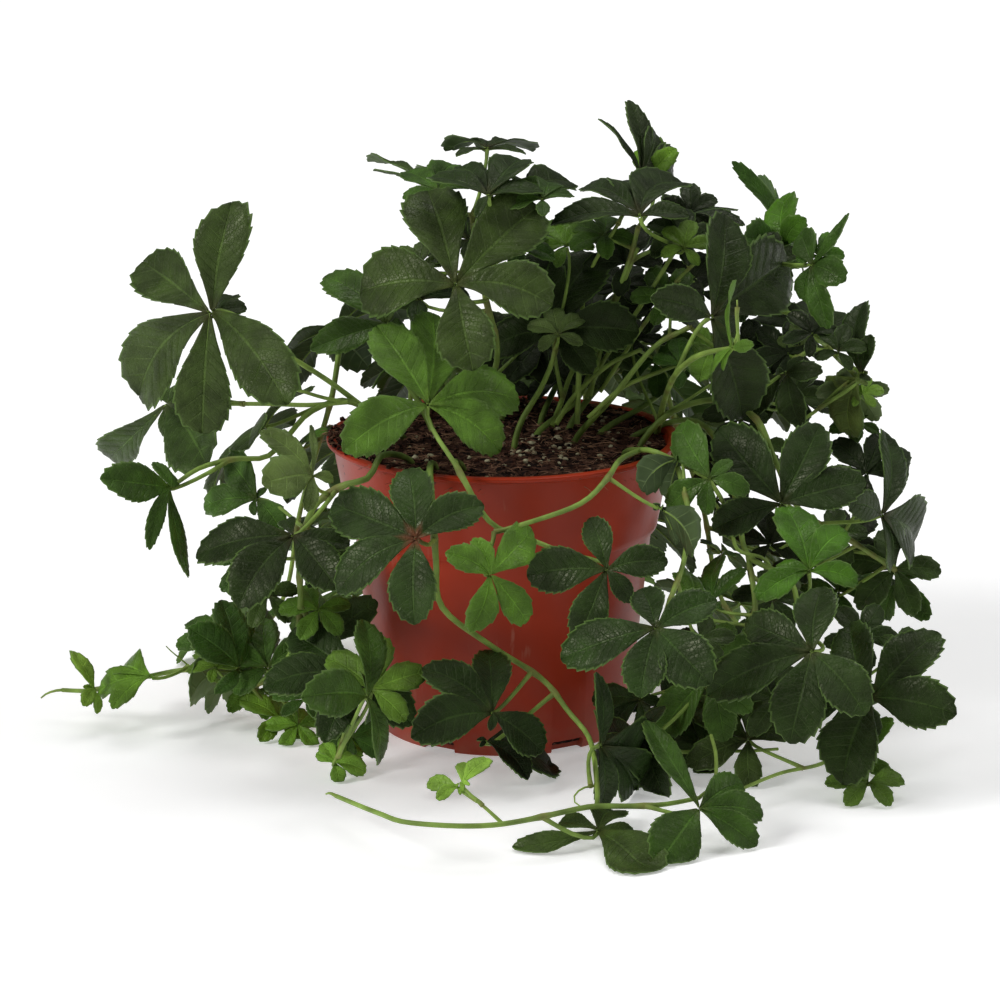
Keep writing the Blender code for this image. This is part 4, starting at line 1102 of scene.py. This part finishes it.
def floor_material(colour):
    """The studio floor: matt and nearly white, with the faintest unevenness."""
    made = Surface("studio_floor", colour)
    mixed = made.mix(made.cloud(3.0), [c * 0.985 for c in colour], colour)
    return made.finish({"Base Color": mixed, "Roughness": 0.8, "Emission Color": (1.0, 1.0, 1.0),
                        "Emission Strength": 0.30})


# The pot: its outline as rings of (radius, height), up the outside and down the inside
POT_HEIGHT = 0.109
POT_RINGS = (
    (0.0462, 0.0), (0.0468, 0.0002), (0.0471, 0.0008), (0.0515, 0.042), (0.05505, 0.0742),
    (0.0554, 0.0752), (0.0568, 0.0756), (0.0572, 0.0762), (0.0575, 0.0780), (0.0600, 0.0920),
    (0.06255, 0.1062), (0.0630, 0.1068), (0.0644, 0.1071), (0.0649, 0.1075), (0.0650, 0.1081),
    (0.0648, 0.1087), (0.0642, 0.1090), (0.0622, 0.1090), (0.0614, 0.1087), (0.0609, 0.1079),
    (0.0552, 0.0786), (0.0532, 0.0766), (0.0452, 0.0026), (0.0446, 0.0020),
)
SLOT_FIRST = math.radians(-60.0)
SLOT_REACH = 0.049
SLOT_SIZE = (0.012, 0.013, 0.0088)
SLOT_ROUNDING = 0.0008


def carry_rings(name, profile, sides):
    """A turned solid: a disc carried through rings of (radius, height)."""
    deselect_all()
    radius, height = profile[0]
    bpy.ops.mesh.primitive_circle_add(vertices=sides, radius=radius, fill_type="NGON",
                                      location=(0, 0, height))
    item = bpy.context.object
    item.name = name
    bpy.ops.object.transform_apply(location=True, rotation=True, scale=True)
    bpy.ops.object.mode_set(mode="EDIT")
    bpy.ops.mesh.select_all(action="SELECT")
    for new_radius, new_height in profile[1:]:
        rise = (0, 0, new_height - height)
        bpy.ops.mesh.extrude_region_move(TRANSFORM_OT_translate={"value": rise})
        share = new_radius / radius
        bpy.ops.transform.resize(value=(share, share, 1), center_override=(0, 0, new_height))
        radius, height = new_radius, new_height
    face_outward()
    return item


def face_outward():
    """Turn every face of the item in edit mode outward, and leave edit mode."""
    bpy.ops.mesh.select_all(action="SELECT")
    bpy.ops.mesh.normals_make_consistent(inside=False)
    bpy.ops.object.mode_set(mode="OBJECT")


def cut_slots(pot):
    """Cut the slots round the foot of the pot."""
    sizes = bpy.context.scene.ivy_pot
    for number in range(sizes.slots):
        turn = SLOT_FIRST + 2 * math.pi * number / sizes.slots
        place = (math.cos(turn) * SLOT_REACH, math.sin(turn) * SLOT_REACH, 0.0)
        deselect_all()
        bpy.ops.mesh.primitive_cube_add(size=1.0, location=place, rotation=(0, 0, turn), scale=SLOT_SIZE)
        cutter = bpy.context.object
        round_off = cutter.modifiers.new("Corners", "BEVEL")
        round_off.width = SLOT_ROUNDING
        round_off.segments = 3
        apply_all(cutter)
        tool = pot.modifiers.new("Slot", "BOOLEAN")
        tool.operation = "DIFFERENCE"
        tool.solver = "EXACT"
        tool.object = cutter
        apply_all(pot)
        bpy.data.objects.remove(cutter)


# The soil: its plug under its top as (radius, height), the bits that lie on the top and how far
# they stand out of it as a share of their size, and where they are heaped, as mean and spread
SOIL_RINGS = 30
SOIL_PLUG = ((0.0548, 0.0788), (0.0529, 0.0768), (0.0447, 0.0023))
GRAIN_SIZES = (0.0010, 0.0030)
CRUMB_SINK = 0.10
PERLITE_SINK = 0.12
SOIL_SEED = 5
PERLITE_HEAP = ((0.017, 0.010), (-0.013, 0.013))
HEAP_BITS = 260
HEAP_TURN = (192, 17)
HEAP_REACH = (0.052, 0.0645)
LIP_REACH = 0.0605
LIP_TOP = 0.1092


def scatter_spots(count, draws):
    """Places for loose bits all over the soil."""
    radius = bpy.context.scene.ivy_soil.radius
    places = []
    for _ in range(int(count)):
        reach = radius * math.sqrt(draws.uniform(0.0, 0.985))
        turn = draws.uniform(0, 2 * math.pi)
        places.append(on_soil(reach * math.cos(turn), reach * math.sin(turn)))
    return places


def on_soil(x, y):
    """The point of the soil's top at a place."""
    return Vector((x, y, soil_top(x, y)))


def heap_height(x, y):
    """How far the heaps at the left, at the back left and behind stand above the soil's level."""
    turn = math.degrees(math.atan2(y, x)) % 360
    reach = math.hypot(x, y)
    round_share = math.exp(-((turn - 196.0) / 26.0) ** 2)
    out_share = math.exp(-((reach - 0.0590) / 0.0075) ** 2)
    second = math.exp(-((x + 0.043) ** 2 + (y - 0.030) ** 2) / 0.0065 ** 2)
    inside = held((reach - 0.036) / 0.022, 0.0, 1.0)
    behind = held((y + 0.006) / 0.030, 0.0, 1.0)
    return 0.0085 * round_share * out_share + 0.0060 * second + 0.0052 * inside ** 2 * behind


def soil_top(x, y):
    """Height of the soil's uneven top."""
    lumps = noise.noise(Vector((x, y, 0.0)) * 170.0) * 0.0011
    lumps += noise.noise(Vector((x, y, 0.3)) * 480.0) * 0.0007
    return soil_height(x, y) + lumps + heap_height(x, y)


def make_soil_body():
    """The soil: a disc inset ring by ring and heaved up, on a plug that fills the pot."""
    soil = bpy.context.scene.ivy_soil
    deselect_all()
    bpy.ops.mesh.primitive_circle_add(vertices=150, radius=soil.radius, fill_type="NGON",
                                      location=(0, 0, 0))
    item = bpy.context.object
    item.name = "soil_body"
    bpy.ops.object.mode_set(mode="EDIT")
    bpy.ops.mesh.select_all(action="SELECT")
    for _ in range(SOIL_RINGS):
        bpy.ops.mesh.inset(thickness=soil.radius / (SOIL_RINGS + 1.5))
    bpy.ops.mesh.poke()

    def heave(corner):
        corner.co.z = soil_top(corner.co.x, corner.co.y)

    each_corner(item, heave)
    pick(item, lambda corner: corner.is_boundary)
    for radius, height in SOIL_PLUG:
        bpy.ops.mesh.extrude_edges_move()

        def draw_in(corner):
            if corner.select:
                flat = math.hypot(corner.co.x, corner.co.y)
                corner.co = (corner.co.x * radius / flat, corner.co.y * radius / flat, height)

        each_corner(item, draw_in)
    bpy.ops.mesh.edge_face_add()
    face_outward()
    smooth(item, 50)
    return item


def model_lump(name, subdivisions, roughness, seed):
    """A rough grain: a sphere of triangles, pushed in and out and flattened."""
    deselect_all()
    bpy.ops.mesh.primitive_ico_sphere_add(subdivisions=subdivisions, radius=0.5)
    item = bpy.context.object
    item.name = name
    bpy.ops.object.mode_set(mode="EDIT")

    def push(corner):
        coarse = noise.noise(corner.co * 2.6 + Vector((seed, seed, 0)))
        fine = noise.noise(corner.co * 6.0 + Vector((0, seed, 0)))
        corner.co *= 1.0 + roughness * (coarse + 0.5 * fine)

    each_corner(item, push)
    bpy.ops.transform.resize(value=(1.0, 0.8, 0.7))
    bpy.ops.object.mode_set(mode="OBJECT")
    return item


def scatter_lumps(name, masters, places, sink, material, draws):
    """Copies of the grains on the soil, turned and sized at random, as one mesh."""
    points, faces = [], []
    shapes = [(np.array([c.co for c in m.data.vertices]),
               np.array([p.vertices for p in m.data.polygons])) for m in masters]
    for place in places:
        co, corners = shapes[draws.randrange(len(shapes))]
        size = draws.uniform(*GRAIN_SIZES) * draws.uniform(0.6, 1.0)
        turned = Matrix.Rotation(draws.uniform(0, 6.3), 3, "Z")
        turned = turned @ Matrix.Rotation(draws.uniform(-0.6, 0.6), 3, "X")
        points.append((co * size) @ np.array(turned).T + np.array(place) + (0, 0, size * sink))
        faces.append(corners)
    item = mesh_item(name, points, faces)
    item.data.materials.append(material)
    return item


def scatter_fibres(name, places, material, draws):
    """Short curved fibres that lie on the soil, as one mesh of tubes."""
    strands = []
    for place in places:
        turn = draws.uniform(0, 2 * math.pi)
        length = draws.uniform(0.0025, 0.0090)
        bend = draws.uniform(-1.1, 1.1)
        lift = draws.uniform(-0.10, 0.35)
        points = [Vector(place) + Vector((0, 0, 0.0001))]
        for _ in range(4):
            turn += bend / 4
            points.append(points[-1] + Vector((math.cos(turn), math.sin(turn), lift)) * length / 4)
            lift -= 0.14
        thick = draws.uniform(0.07, 0.17)
        radii = [thick, thick * 1.1, thick, thick * 0.8, thick * 0.4]
        strands.append(Strand(points, radii, [Vector((0, 0, 0))] * 5))
    return tube_object(name, strands, material, 0)


# The hidden back: the part's own rule and draws, and more small leaves
BACK_TURNS = (42.0, 65.0, 91.0, 119.0, 143.0)
BACK_SMALL = 5
BACK_SMALL_SEED = 100
BACK_LEAVES = 4
BACK_SEED = 3
BACK_ROOT_RADIUS = 0.033
BACK_RISE = 0.030
BACK_REACH = 0.100
BACK_DROP = 0.030
BACK_TONES = ("dark", "mature", "mid", "mature", "dark")


def leaf_axes(z_axis, ahead):
    """A leaf's axes, from its own upward axis and roughly the way in which it points."""
    z_axis = z_axis.normalized()
    y_axis = (ahead - z_axis * ahead.dot(z_axis)).normalized()
    return Matrix((y_axis.cross(z_axis), y_axis, z_axis)).transposed()


def back_stem(number, turn_degrees, draws):
    """A stem of the hidden back: its routes, and its leaves with their places."""
    turn = math.radians(turn_degrees)
    out = Vector((math.cos(turn), math.sin(turn), 0.0))
    side = Vector((-math.sin(turn), math.cos(turn), 0.0))
    up = Vector((0, 0, 1))
    root = (out.x * BACK_ROOT_RADIUS, out.y * BACK_ROOT_RADIUS)
    sway = draws.uniform(-0.012, 0.012)
    top = POT_HEIGHT + BACK_RISE * draws.uniform(0.6, 1.0)
    points = []
    for reach, height, share in (
        (0.050, top - 0.012, 0.2), (0.074, top, 0.4), (BACK_REACH - 0.016, top - 0.030, 0.7),
        (BACK_REACH, 0.064, 0.9), (BACK_REACH + 0.008, BACK_DROP, 1.0), (BACK_REACH + 0.022, 0.009, 1.2),
    ):
        points.append(out * reach + side * sway * share + Vector((0, 0, height)))
    coarse = above_floor(rooted_route(root, points, 0.017, True), STEM_RADIUS)
    route = above_floor(rooted_route(root, points, ROUTE_STEP), STEM_RADIUS)
    leaves = []
    for k in range(BACK_LEAVES):
        point = coarse[round((0.42 + 0.56 * k / (BACK_LEAVES - 1)) * (len(coarse) - 1))]
        way = 1.0 if k % 2 else -1.0
        size = (0.038 - 0.011 * k / (BACK_LEAVES - 1)) * draws.uniform(0.92, 1.08)
        hub = point + (side * way * 0.55 + out * 0.45 + Vector((0, 0, 0.35))) * size * 0.8
        z_axis = out * 0.72 + Vector((0, 0, 0.68)) + side * way * draws.uniform(0.0, 0.3)
        ahead = side * way * 0.8 + out * 0.4 - Vector((0, 0, 0.6 + draws.uniform(-0.2, 0.2)))
        turns = [a + draws.uniform(-6, 6) for a in LEAFLET_ANGLES]
        lengths = [size * r * draws.uniform(0.92, 1.05) for r in LEAFLET_LENGTHS]
        tone = BACK_TONES[(number + k) % len(BACK_TONES)] if k < 3 else "young"
        pose = (hub, leaf_axes(z_axis, ahead), size, turns, lengths)
        leaves.append((Leaf(None, None, tone=tone, droop=0.18), pose))
    more = random.Random(BACK_SMALL_SEED + number)
    for k in range(2 if number == len(BACK_TURNS) else 0, BACK_SMALL):
        point = route[round((0.22 + 0.76 * k / (BACK_SMALL - 1)) * (len(route) - 1))]
        way = -1.0 if k % 2 else 1.0
        size = more.uniform(0.014, 0.021)
        hub = point + (side * way * 0.7 - out * more.uniform(0.0, 0.5) + Vector((0, 0, 0.3))) * size * 1.1
        hub.z = max(hub.z, 0.006)
        z_axis = out * 0.6 + Vector((0, 0, 0.8)) + side * way * more.uniform(-0.3, 0.6)
        ahead = side * way + out * more.uniform(-0.2, 0.6) - Vector((0, 0, more.uniform(0.1, 0.6)))
        lengths = [size * r * more.uniform(0.9, 1.05) for r in LEAFLET_LENGTHS]
        pose = (hub, leaf_axes(z_axis, ahead), size, list(LEAFLET_ANGLES), lengths)
        tone = more.choice(("young", "mid", "mature", "olive"))
        leaves.append((Leaf(None, None, tone=tone), pose))
    return [route], leaves


# Thin tendrils and bare young shoots, as routes of (pixel across, pixel down, millimetres in
# front), with their thickness at both ends in millimetres
WISPS = {
    "stem_pot_front": [
        ([(597, 786, 122), (586, 787, 124), (576, 793, 126), (574, 801, 128), (580, 806, 130)], 0.45, 0.25),
        ([(504, 825, 158), (490, 812, 156), (474, 798, 154), (462, 786, 152)], 0.7, 0.5),
        ([(655, 749, 70), (684, 752, 72), (714, 751, 72), (748, 751, 70), (778, 749, 66)], 0.8, 0.6),
        ([(699, 798, 130), (714, 783, 118), (716, 756, 104), (711, 735, 96)], 0.7, 0.6),
        ([(336, 796, 120), (330, 793, 117), (326, 794, 114)], 0.7, 0.3),
    ],
    "stem_left": [
        ([(62, 690, 7), (54, 691, 6), (46, 694, 5), (41, 698, 5)], 0.6, 0.3),
        ([(193, 670, 12), (182, 660, 14), (172, 652, 16), (166, 646, 16)], 0.4, 0.2),
    ],
    "stem_top_middle": [
        ([(678, 246, -4), (656, 282, -8), (634, 316, -14), (604, 360, -18), (586, 398, -16)], 0.8, 0.9),
        ([(618, 224, -12), (606, 244, -14), (592, 268, -18), (582, 310, -22), (574, 396, -20)], 0.7, 0.9),
        ([(694, 264, -6), (672, 286, -10), (640, 330, -16), (600, 392, -14)], 0.7, 0.8),
        ([(638, 248, -10), (624, 282, -14), (606, 330, -18), (590, 396, -14)], 0.7, 0.9),
    ],
    "stem_top_right": [
        ([(656, 438, -14), (664, 402, 6), (676, 374, 26), (700, 355, 48), (733, 348, 68)], 1.25, 0.9),
        ([(733, 348, 70), (738, 330, 71), (737, 300, 71)], 0.6, 0.3),
    ],
    "stem_upper_left": [
        ([(171, 408, -8), (200, 405, 0), (230, 404, 8), (270, 404, 14), (310, 405, 18),
          (348, 402, 18)], 0.7, 0.9),
        ([(262, 382, 16), (297, 390, 20), (325, 398, 20), (356, 404, 16)], 0.55, 0.8),
        ([(216, 318, 32), (252, 334, 20), (297, 361, 16), (330, 382, 14), (362, 406, 12)], 0.8, 1.05),
    ],
    "stem_middle": [
        ([(579, 368, 0), (578, 395, 2), (577, 424, 4)], 1, 1.1),
        ([(640, 350, -10), (610, 364, -6), (576, 394, 2), (556, 424, 8)], 0.8, 1),
        ([(590, 344, -16), (572, 372, -10), (562, 400, -2), (552, 426, 4)], 0.8, 1),
        ([(712, 352, 4), (664, 370, 4), (622, 388, 6), (588, 418, 8)], 0.7, 0.9),
    ],
    "stem_front_right": [
        ([(706, 476, 48), (722, 500, 46), (731, 527, 44), (738, 550, 42), (761, 557, 40),
          (770, 566, 40)], 0.9, 0.6),
    ],
    "stem_right_low": [
        ([(850, 715, 58), (846, 742, 66), (823, 763, 78), (781, 773, 92), (741, 789, 104)], 0.8, 0.6),
        ([(742, 660, 60), (762, 698, 62), (749, 738, 64), (725, 746, 66)], 0.7, 0.5),
    ],
    "stem_right_arch": [
        ([(856, 376, -4), (838, 390, -2), (817, 410, 0), (796, 424, 2)], 0.7, 0.7),
        ([(830, 350, -8), (809, 351, -10), (786, 366, -12), (768, 382, -12), (742, 404, -14)], 0.7, 0.8),
    ],
}


def wisp_strands(node):
    """The strands of a stem's tendrils and bare shoots."""
    draws = random.Random(node + "_wisps")
    strands = []
    for rows, thick, thin in WISPS.get(node, []):
        points = above_floor(smooth_route(spots(rows), WISP_STEP), thick * MM)
        count = len(points) - 1
        radii = [thick + (thin - thick) * k / count for k in range(count + 1)]
        colours = [stem_tone(0.9 + 0.3 * k / count, 0.1, draws) for k in range(count + 1)]
        strands.append(Strand(points, radii, colours))
    return strands


def length_setting(name, about, default, precision=4):
    """A setting that is a length."""
    return FloatProperty(name=name, description=about, default=default, precision=precision,
                         unit="LENGTH")


def share_setting(name, about, default, **more):
    """A setting that is a share, of a leaflet's length unless it says otherwise."""
    return FloatProperty(name=name, description=about, default=default, subtype="FACTOR", **more)


def count_setting(name, about, default, low, high):
    """A setting that is a whole number."""
    return IntProperty(name=name, description=about, default=default, min=low, max=high)


def colour_setting(name, about, default):
    """A setting that is a colour."""
    return FloatVectorProperty(name=name, description=about, size=3, default=default, min=0, max=1,
                               subtype="COLOR")


class IvyLeafSettings(bpy.types.PropertyGroup):
    """Sizes of the leaves."""

    blade_thickness: length_setting("Blade thickness", "Thickness of a leaf blade", 0.0004, 5)
    half_width: share_setting("Leaflet half width", "Widest half width", 0.27, min=0.1, max=0.45)
    teeth: count_setting("Teeth", "Teeth down each side of a large leaflet", 7, 4, 8)
    tooth_depth: share_setting("Tooth depth", "How far a tooth stands out", 0.016)
    quilting: share_setting("Quilting", "Rise of the blade between its veins", 0.0040)
    fold: share_setting("Fold", "Rise of the blade away from its midrib, as a slope", 0.30)
    wave: share_setting("Wave", "Waviness of the edges", 0.026)


class IvyStemSettings(bpy.types.PropertyGroup):
    """Colours of the stems."""

    colour: colour_setting("Stem colour", "Green of the stems and stalks", (0.170, 0.265, 0.050))
    node_colour: colour_setting("Node colour", "Reddish brown of the nodes", (0.15, 0.085, 0.040))


class IvyPotSettings(bpy.types.PropertyGroup):
    """Shape and colour of the pot."""

    sides: count_setting("Sides", "Straight pieces that make up the round", 128, 32, 256)
    slots: count_setting("Slots", "Slots round the foot", 6, 0, 12)
    colour: colour_setting("Pot colour", "Colour of the plastic", (0.345, 0.029, 0.007))


class IvySoilSettings(bpy.types.PropertyGroup):
    """Level of the soil and what lies on it."""

    radius: length_setting("Radius", "Radius of the soil's top", 0.0600)
    edge_height: length_setting("Edge height", "Height of the soil at the pot's wall", 0.1035)
    mound: length_setting("Mound", "Rise towards the middle", 0.003)
    crumbs: count_setting("Crumbs", "Number of peat crumbs", 900, 0, 2000)
    fibres: count_setting("Fibres", "Number of fibres", 2300, 0, 3000)
    perlite: count_setting("Perlite", "Number of perlite grains", 120, 0, 300)


class IvyStageSettings(bpy.types.PropertyGroup):
    """Floor and light."""

    floor_colour: colour_setting("Floor colour", "Colour of the floor", (0.90, 0.90, 0.90))
    sky: FloatProperty(name="Fill light", description="Strength of the light from all round",
                       default=0.12)
    key: FloatProperty(name="Key light", description="Strength of the wide light from the left",
                       default=1.85)


class GRAPEIVY_OT_pot(bpy.types.Operator):
    """Make the tapered nursery pot with its collar, lip and foot slots"""

    bl_idname = "grapeivy.pot"
    bl_label = "Pot"

    def execute(self, context):
        """Carry a disc through the pot's rings, cut its slots and finish it."""
        pot = carry_rings("pot_shell", POT_RINGS, context.scene.ivy_pot.sides)
        cut_slots(pot)
        smooth(pot, 30)
        pot.data.materials.append(pot_material())
        settle(pot, "pot")
        return {"FINISHED"}


class GRAPEIVY_OT_soil(bpy.types.Operator):
    """Make the peat with its crumbs, fibres and perlite"""

    bl_idname = "grapeivy.soil"
    bl_label = "Soil"

    def execute(self, context):
        """Heave up the soil's top and scatter the loose bits over it."""
        soil = context.scene.ivy_soil
        draws = random.Random(SOIL_SEED)
        share = 1.0
        pieces = [make_soil_body()]
        peat = peat_material()
        pieces[0].data.materials.append(peat)
        crumbs = [model_lump("crumb_%d" % k, 1, 0.55, 3.1 * k) for k in range(3)]
        grains = [model_lump("grain_%d" % k, 2, 0.50, 7.7 * k) for k in range(4)]
        heap = []
        while len(heap) < HEAP_BITS * share:
            turn, reach = math.radians(draws.gauss(*HEAP_TURN)), draws.uniform(*HEAP_REACH)
            place = on_soil(reach * math.cos(turn), reach * math.sin(turn))
            if reach > LIP_REACH:
                place.z = max(place.z, LIP_TOP)
            heap.append(place)
        places = scatter_spots(soil.crumbs * share, draws) + heap
        pieces.append(scatter_lumps("crumbs", crumbs, places, CRUMB_SINK, peat, draws))
        places = scatter_spots(soil.fibres * share, draws) + heap[::2]
        pieces.append(scatter_fibres("fibres", places, fibre_material(), draws))
        places = scatter_spots(soil.perlite, draws)
        for _ in range(soil.perlite // 2):
            places.append(on_soil(*(draws.gauss(*spread) for spread in PERLITE_HEAP)))
        pieces.append(scatter_lumps("perlite", grains, places, PERLITE_SINK, perlite_material(), draws))
        for master in crumbs + grains:
            bpy.data.objects.remove(master)
        settle(join(pieces, "soil_top_and_body"), "soil")
        return {"FINISHED"}


class GRAPEIVY_OT_stems(bpy.types.Operator):
    """Make every leafy stem: shoots, stalks, tendrils and leaves of five toothed leaflets"""

    bl_idname = "grapeivy.stems"
    bl_label = "Leafy stems"

    def execute(self, context):
        """Model the master leaflets, and bend copies of them onto each stem."""
        teeth, depth = context.scene.ivy_leaf.teeth, context.scene.ivy_leaf.tooth_depth
        made = [
            make_leaflet("leaflet_oval", teeth, 4, depth, LEAFLET_OVAL),
            make_leaflet("leaflet_round", teeth, 4, depth, LEAFLET_ROUND),
            make_leaflet("leaflet_small", 4, 3, depth * 1.2, LEAFLET_OVAL),
        ]
        masters = [read_blade(item) for item in made]
        for item in made:
            bpy.data.objects.remove(item)
        materials = [leaf_upper_material(), leaf_lower_material(), stem_material()]
        for node, (root, shoots, leaves) in STEMS.items():
            stem = rooted_route([v * MM for v in root], spots(shoots[0]), ROUTE_STEP)
            routes = [stem] + [branch_route(stem, shoot) for shoot in shoots[1:]]
            routes = [above_floor(route, STEM_RADIUS) for route in routes]
            posed = [(leaf, leaf_pose(leaf)) for leaf in leaves]
            dress_stem(node, routes, posed, wisp_strands(node), masters, materials)
        draws = random.Random(BACK_SEED)
        for number, turn in enumerate(BACK_TURNS, 1):
            routes, posed = back_stem(number, turn, draws)
            dress_stem("stem_back_%d" % number, routes, posed, [], masters, materials)
        return {"FINISHED"}


# The studio lights: name, way that they come from, width in degrees, share of the key light
LIGHTS = (
    ("left", (-1.0, -0.50, 0.75), 20.0, 1.0),
    ("right", (1.0, -0.10, 0.55), 20.0, 0.32),
    ("top", (0.10, 0.25, 1.0), 46.0, 0.7),
)
SENSOR_WIDTH = 36.0
FLOOR_SIZE = 14.0
FARTHEST_SEEN = 50.0


class GRAPEIVY_OT_stage(bpy.types.Operator):
    """Set up the pale floor, the soft studio light and the camera"""

    bl_idname = "grapeivy.stage"
    bl_label = "Floor, light and camera"

    def execute(self, context):
        """Lay the floor, hang the lights and place the camera where the pixels are measured from."""
        stage = context.scene.ivy_stage
        deselect_all()
        bpy.ops.mesh.primitive_plane_add(size=FLOOR_SIZE, location=(0, 0, 0))
        floor = bpy.context.object
        floor.name = "studio_floor"
        floor.data.materials.append(floor_material(stage.floor_colour))
        world = bpy.data.worlds.new("studio")
        world.use_nodes = True
        background = world.node_tree.nodes["Background"]
        background.inputs["Color"].default_value = (1.0, 1.0, 1.0, 1.0)
        background.inputs["Strength"].default_value = stage.sky
        context.scene.world = world
        for name, way, width, share in LIGHTS:
            bpy.ops.object.light_add(type="SUN", location=Vector(way) * 1.5)
            light = bpy.context.object
            light.name = "light_" + name
            light.data.energy = stage.key * share
            light.data.angle = math.radians(width)
            light.rotation_euler = Vector(way).to_track_quat("Z", "Y").to_euler()
        bpy.ops.object.camera_add(location=EYE, rotation=(math.pi / 2 - VIEW_ELEVATION, 0, 0))
        camera = bpy.context.object
        camera.data.sensor_width = SENSOR_WIDTH
        camera.data.lens = SENSOR_WIDTH * VIEW_FOCAL_PIXELS / (2 * VIEW_CENTRE_PIXEL)
        camera.data.clip_end = FARTHEST_SEEN
        context.scene.camera = camera
        context.scene.view_settings.view_transform = "Standard"
        return {"FINISHED"}


class GRAPEIVY_PT_panel(bpy.types.Panel):
    """Lists the pieces of the potted ivy and their settings"""

    bl_label = "Grape Ivy"
    bl_idname = "GRAPEIVY_PT_panel"
    bl_space_type = "VIEW_3D"
    bl_region_type = "UI"
    bl_category = "Grape Ivy"

    def draw(self, context):
        """A box for each group of pieces, with its settings above its button."""
        groups = (
            ("ivy_pot", "grapeivy.pot"), ("ivy_soil", "grapeivy.soil"), ("ivy_leaf", None),
            ("ivy_stem", "grapeivy.stems"), ("ivy_stage", "grapeivy.stage"),
        )
        for name, operator in groups:
            box = self.layout.box()
            settings = getattr(context.scene, name)
            for key in settings.__annotations__:
                box.prop(settings, key)
            if operator:
                box.operator(operator)


SETTINGS = {
    "ivy_leaf": IvyLeafSettings,
    "ivy_stem": IvyStemSettings,
    "ivy_pot": IvyPotSettings,
    "ivy_soil": IvySoilSettings,
    "ivy_stage": IvyStageSettings,
}
CLASSES = (GRAPEIVY_OT_pot, GRAPEIVY_OT_soil, GRAPEIVY_OT_stems, GRAPEIVY_OT_stage, GRAPEIVY_PT_panel)


def register():
    """Register the settings, operators and panel."""
    for name, group in SETTINGS.items():
        bpy.utils.register_class(group)
        setattr(bpy.types.Scene, name, PointerProperty(type=group))
    for item in CLASSES:
        bpy.utils.register_class(item)


def unregister():
    """Undo register."""
    for item in reversed(CLASSES):
        bpy.utils.unregister_class(item)
    for name, group in SETTINGS.items():
        delattr(bpy.types.Scene, name)
        bpy.utils.unregister_class(group)


def main():
    """Build the pot, the soil, the leafy stems and the stage."""
    register()
    bpy.ops.grapeivy.pot()
    bpy.ops.grapeivy.soil()
    bpy.ops.grapeivy.stems()
    bpy.ops.grapeivy.stage()


if __name__ == "__main__":
    main()
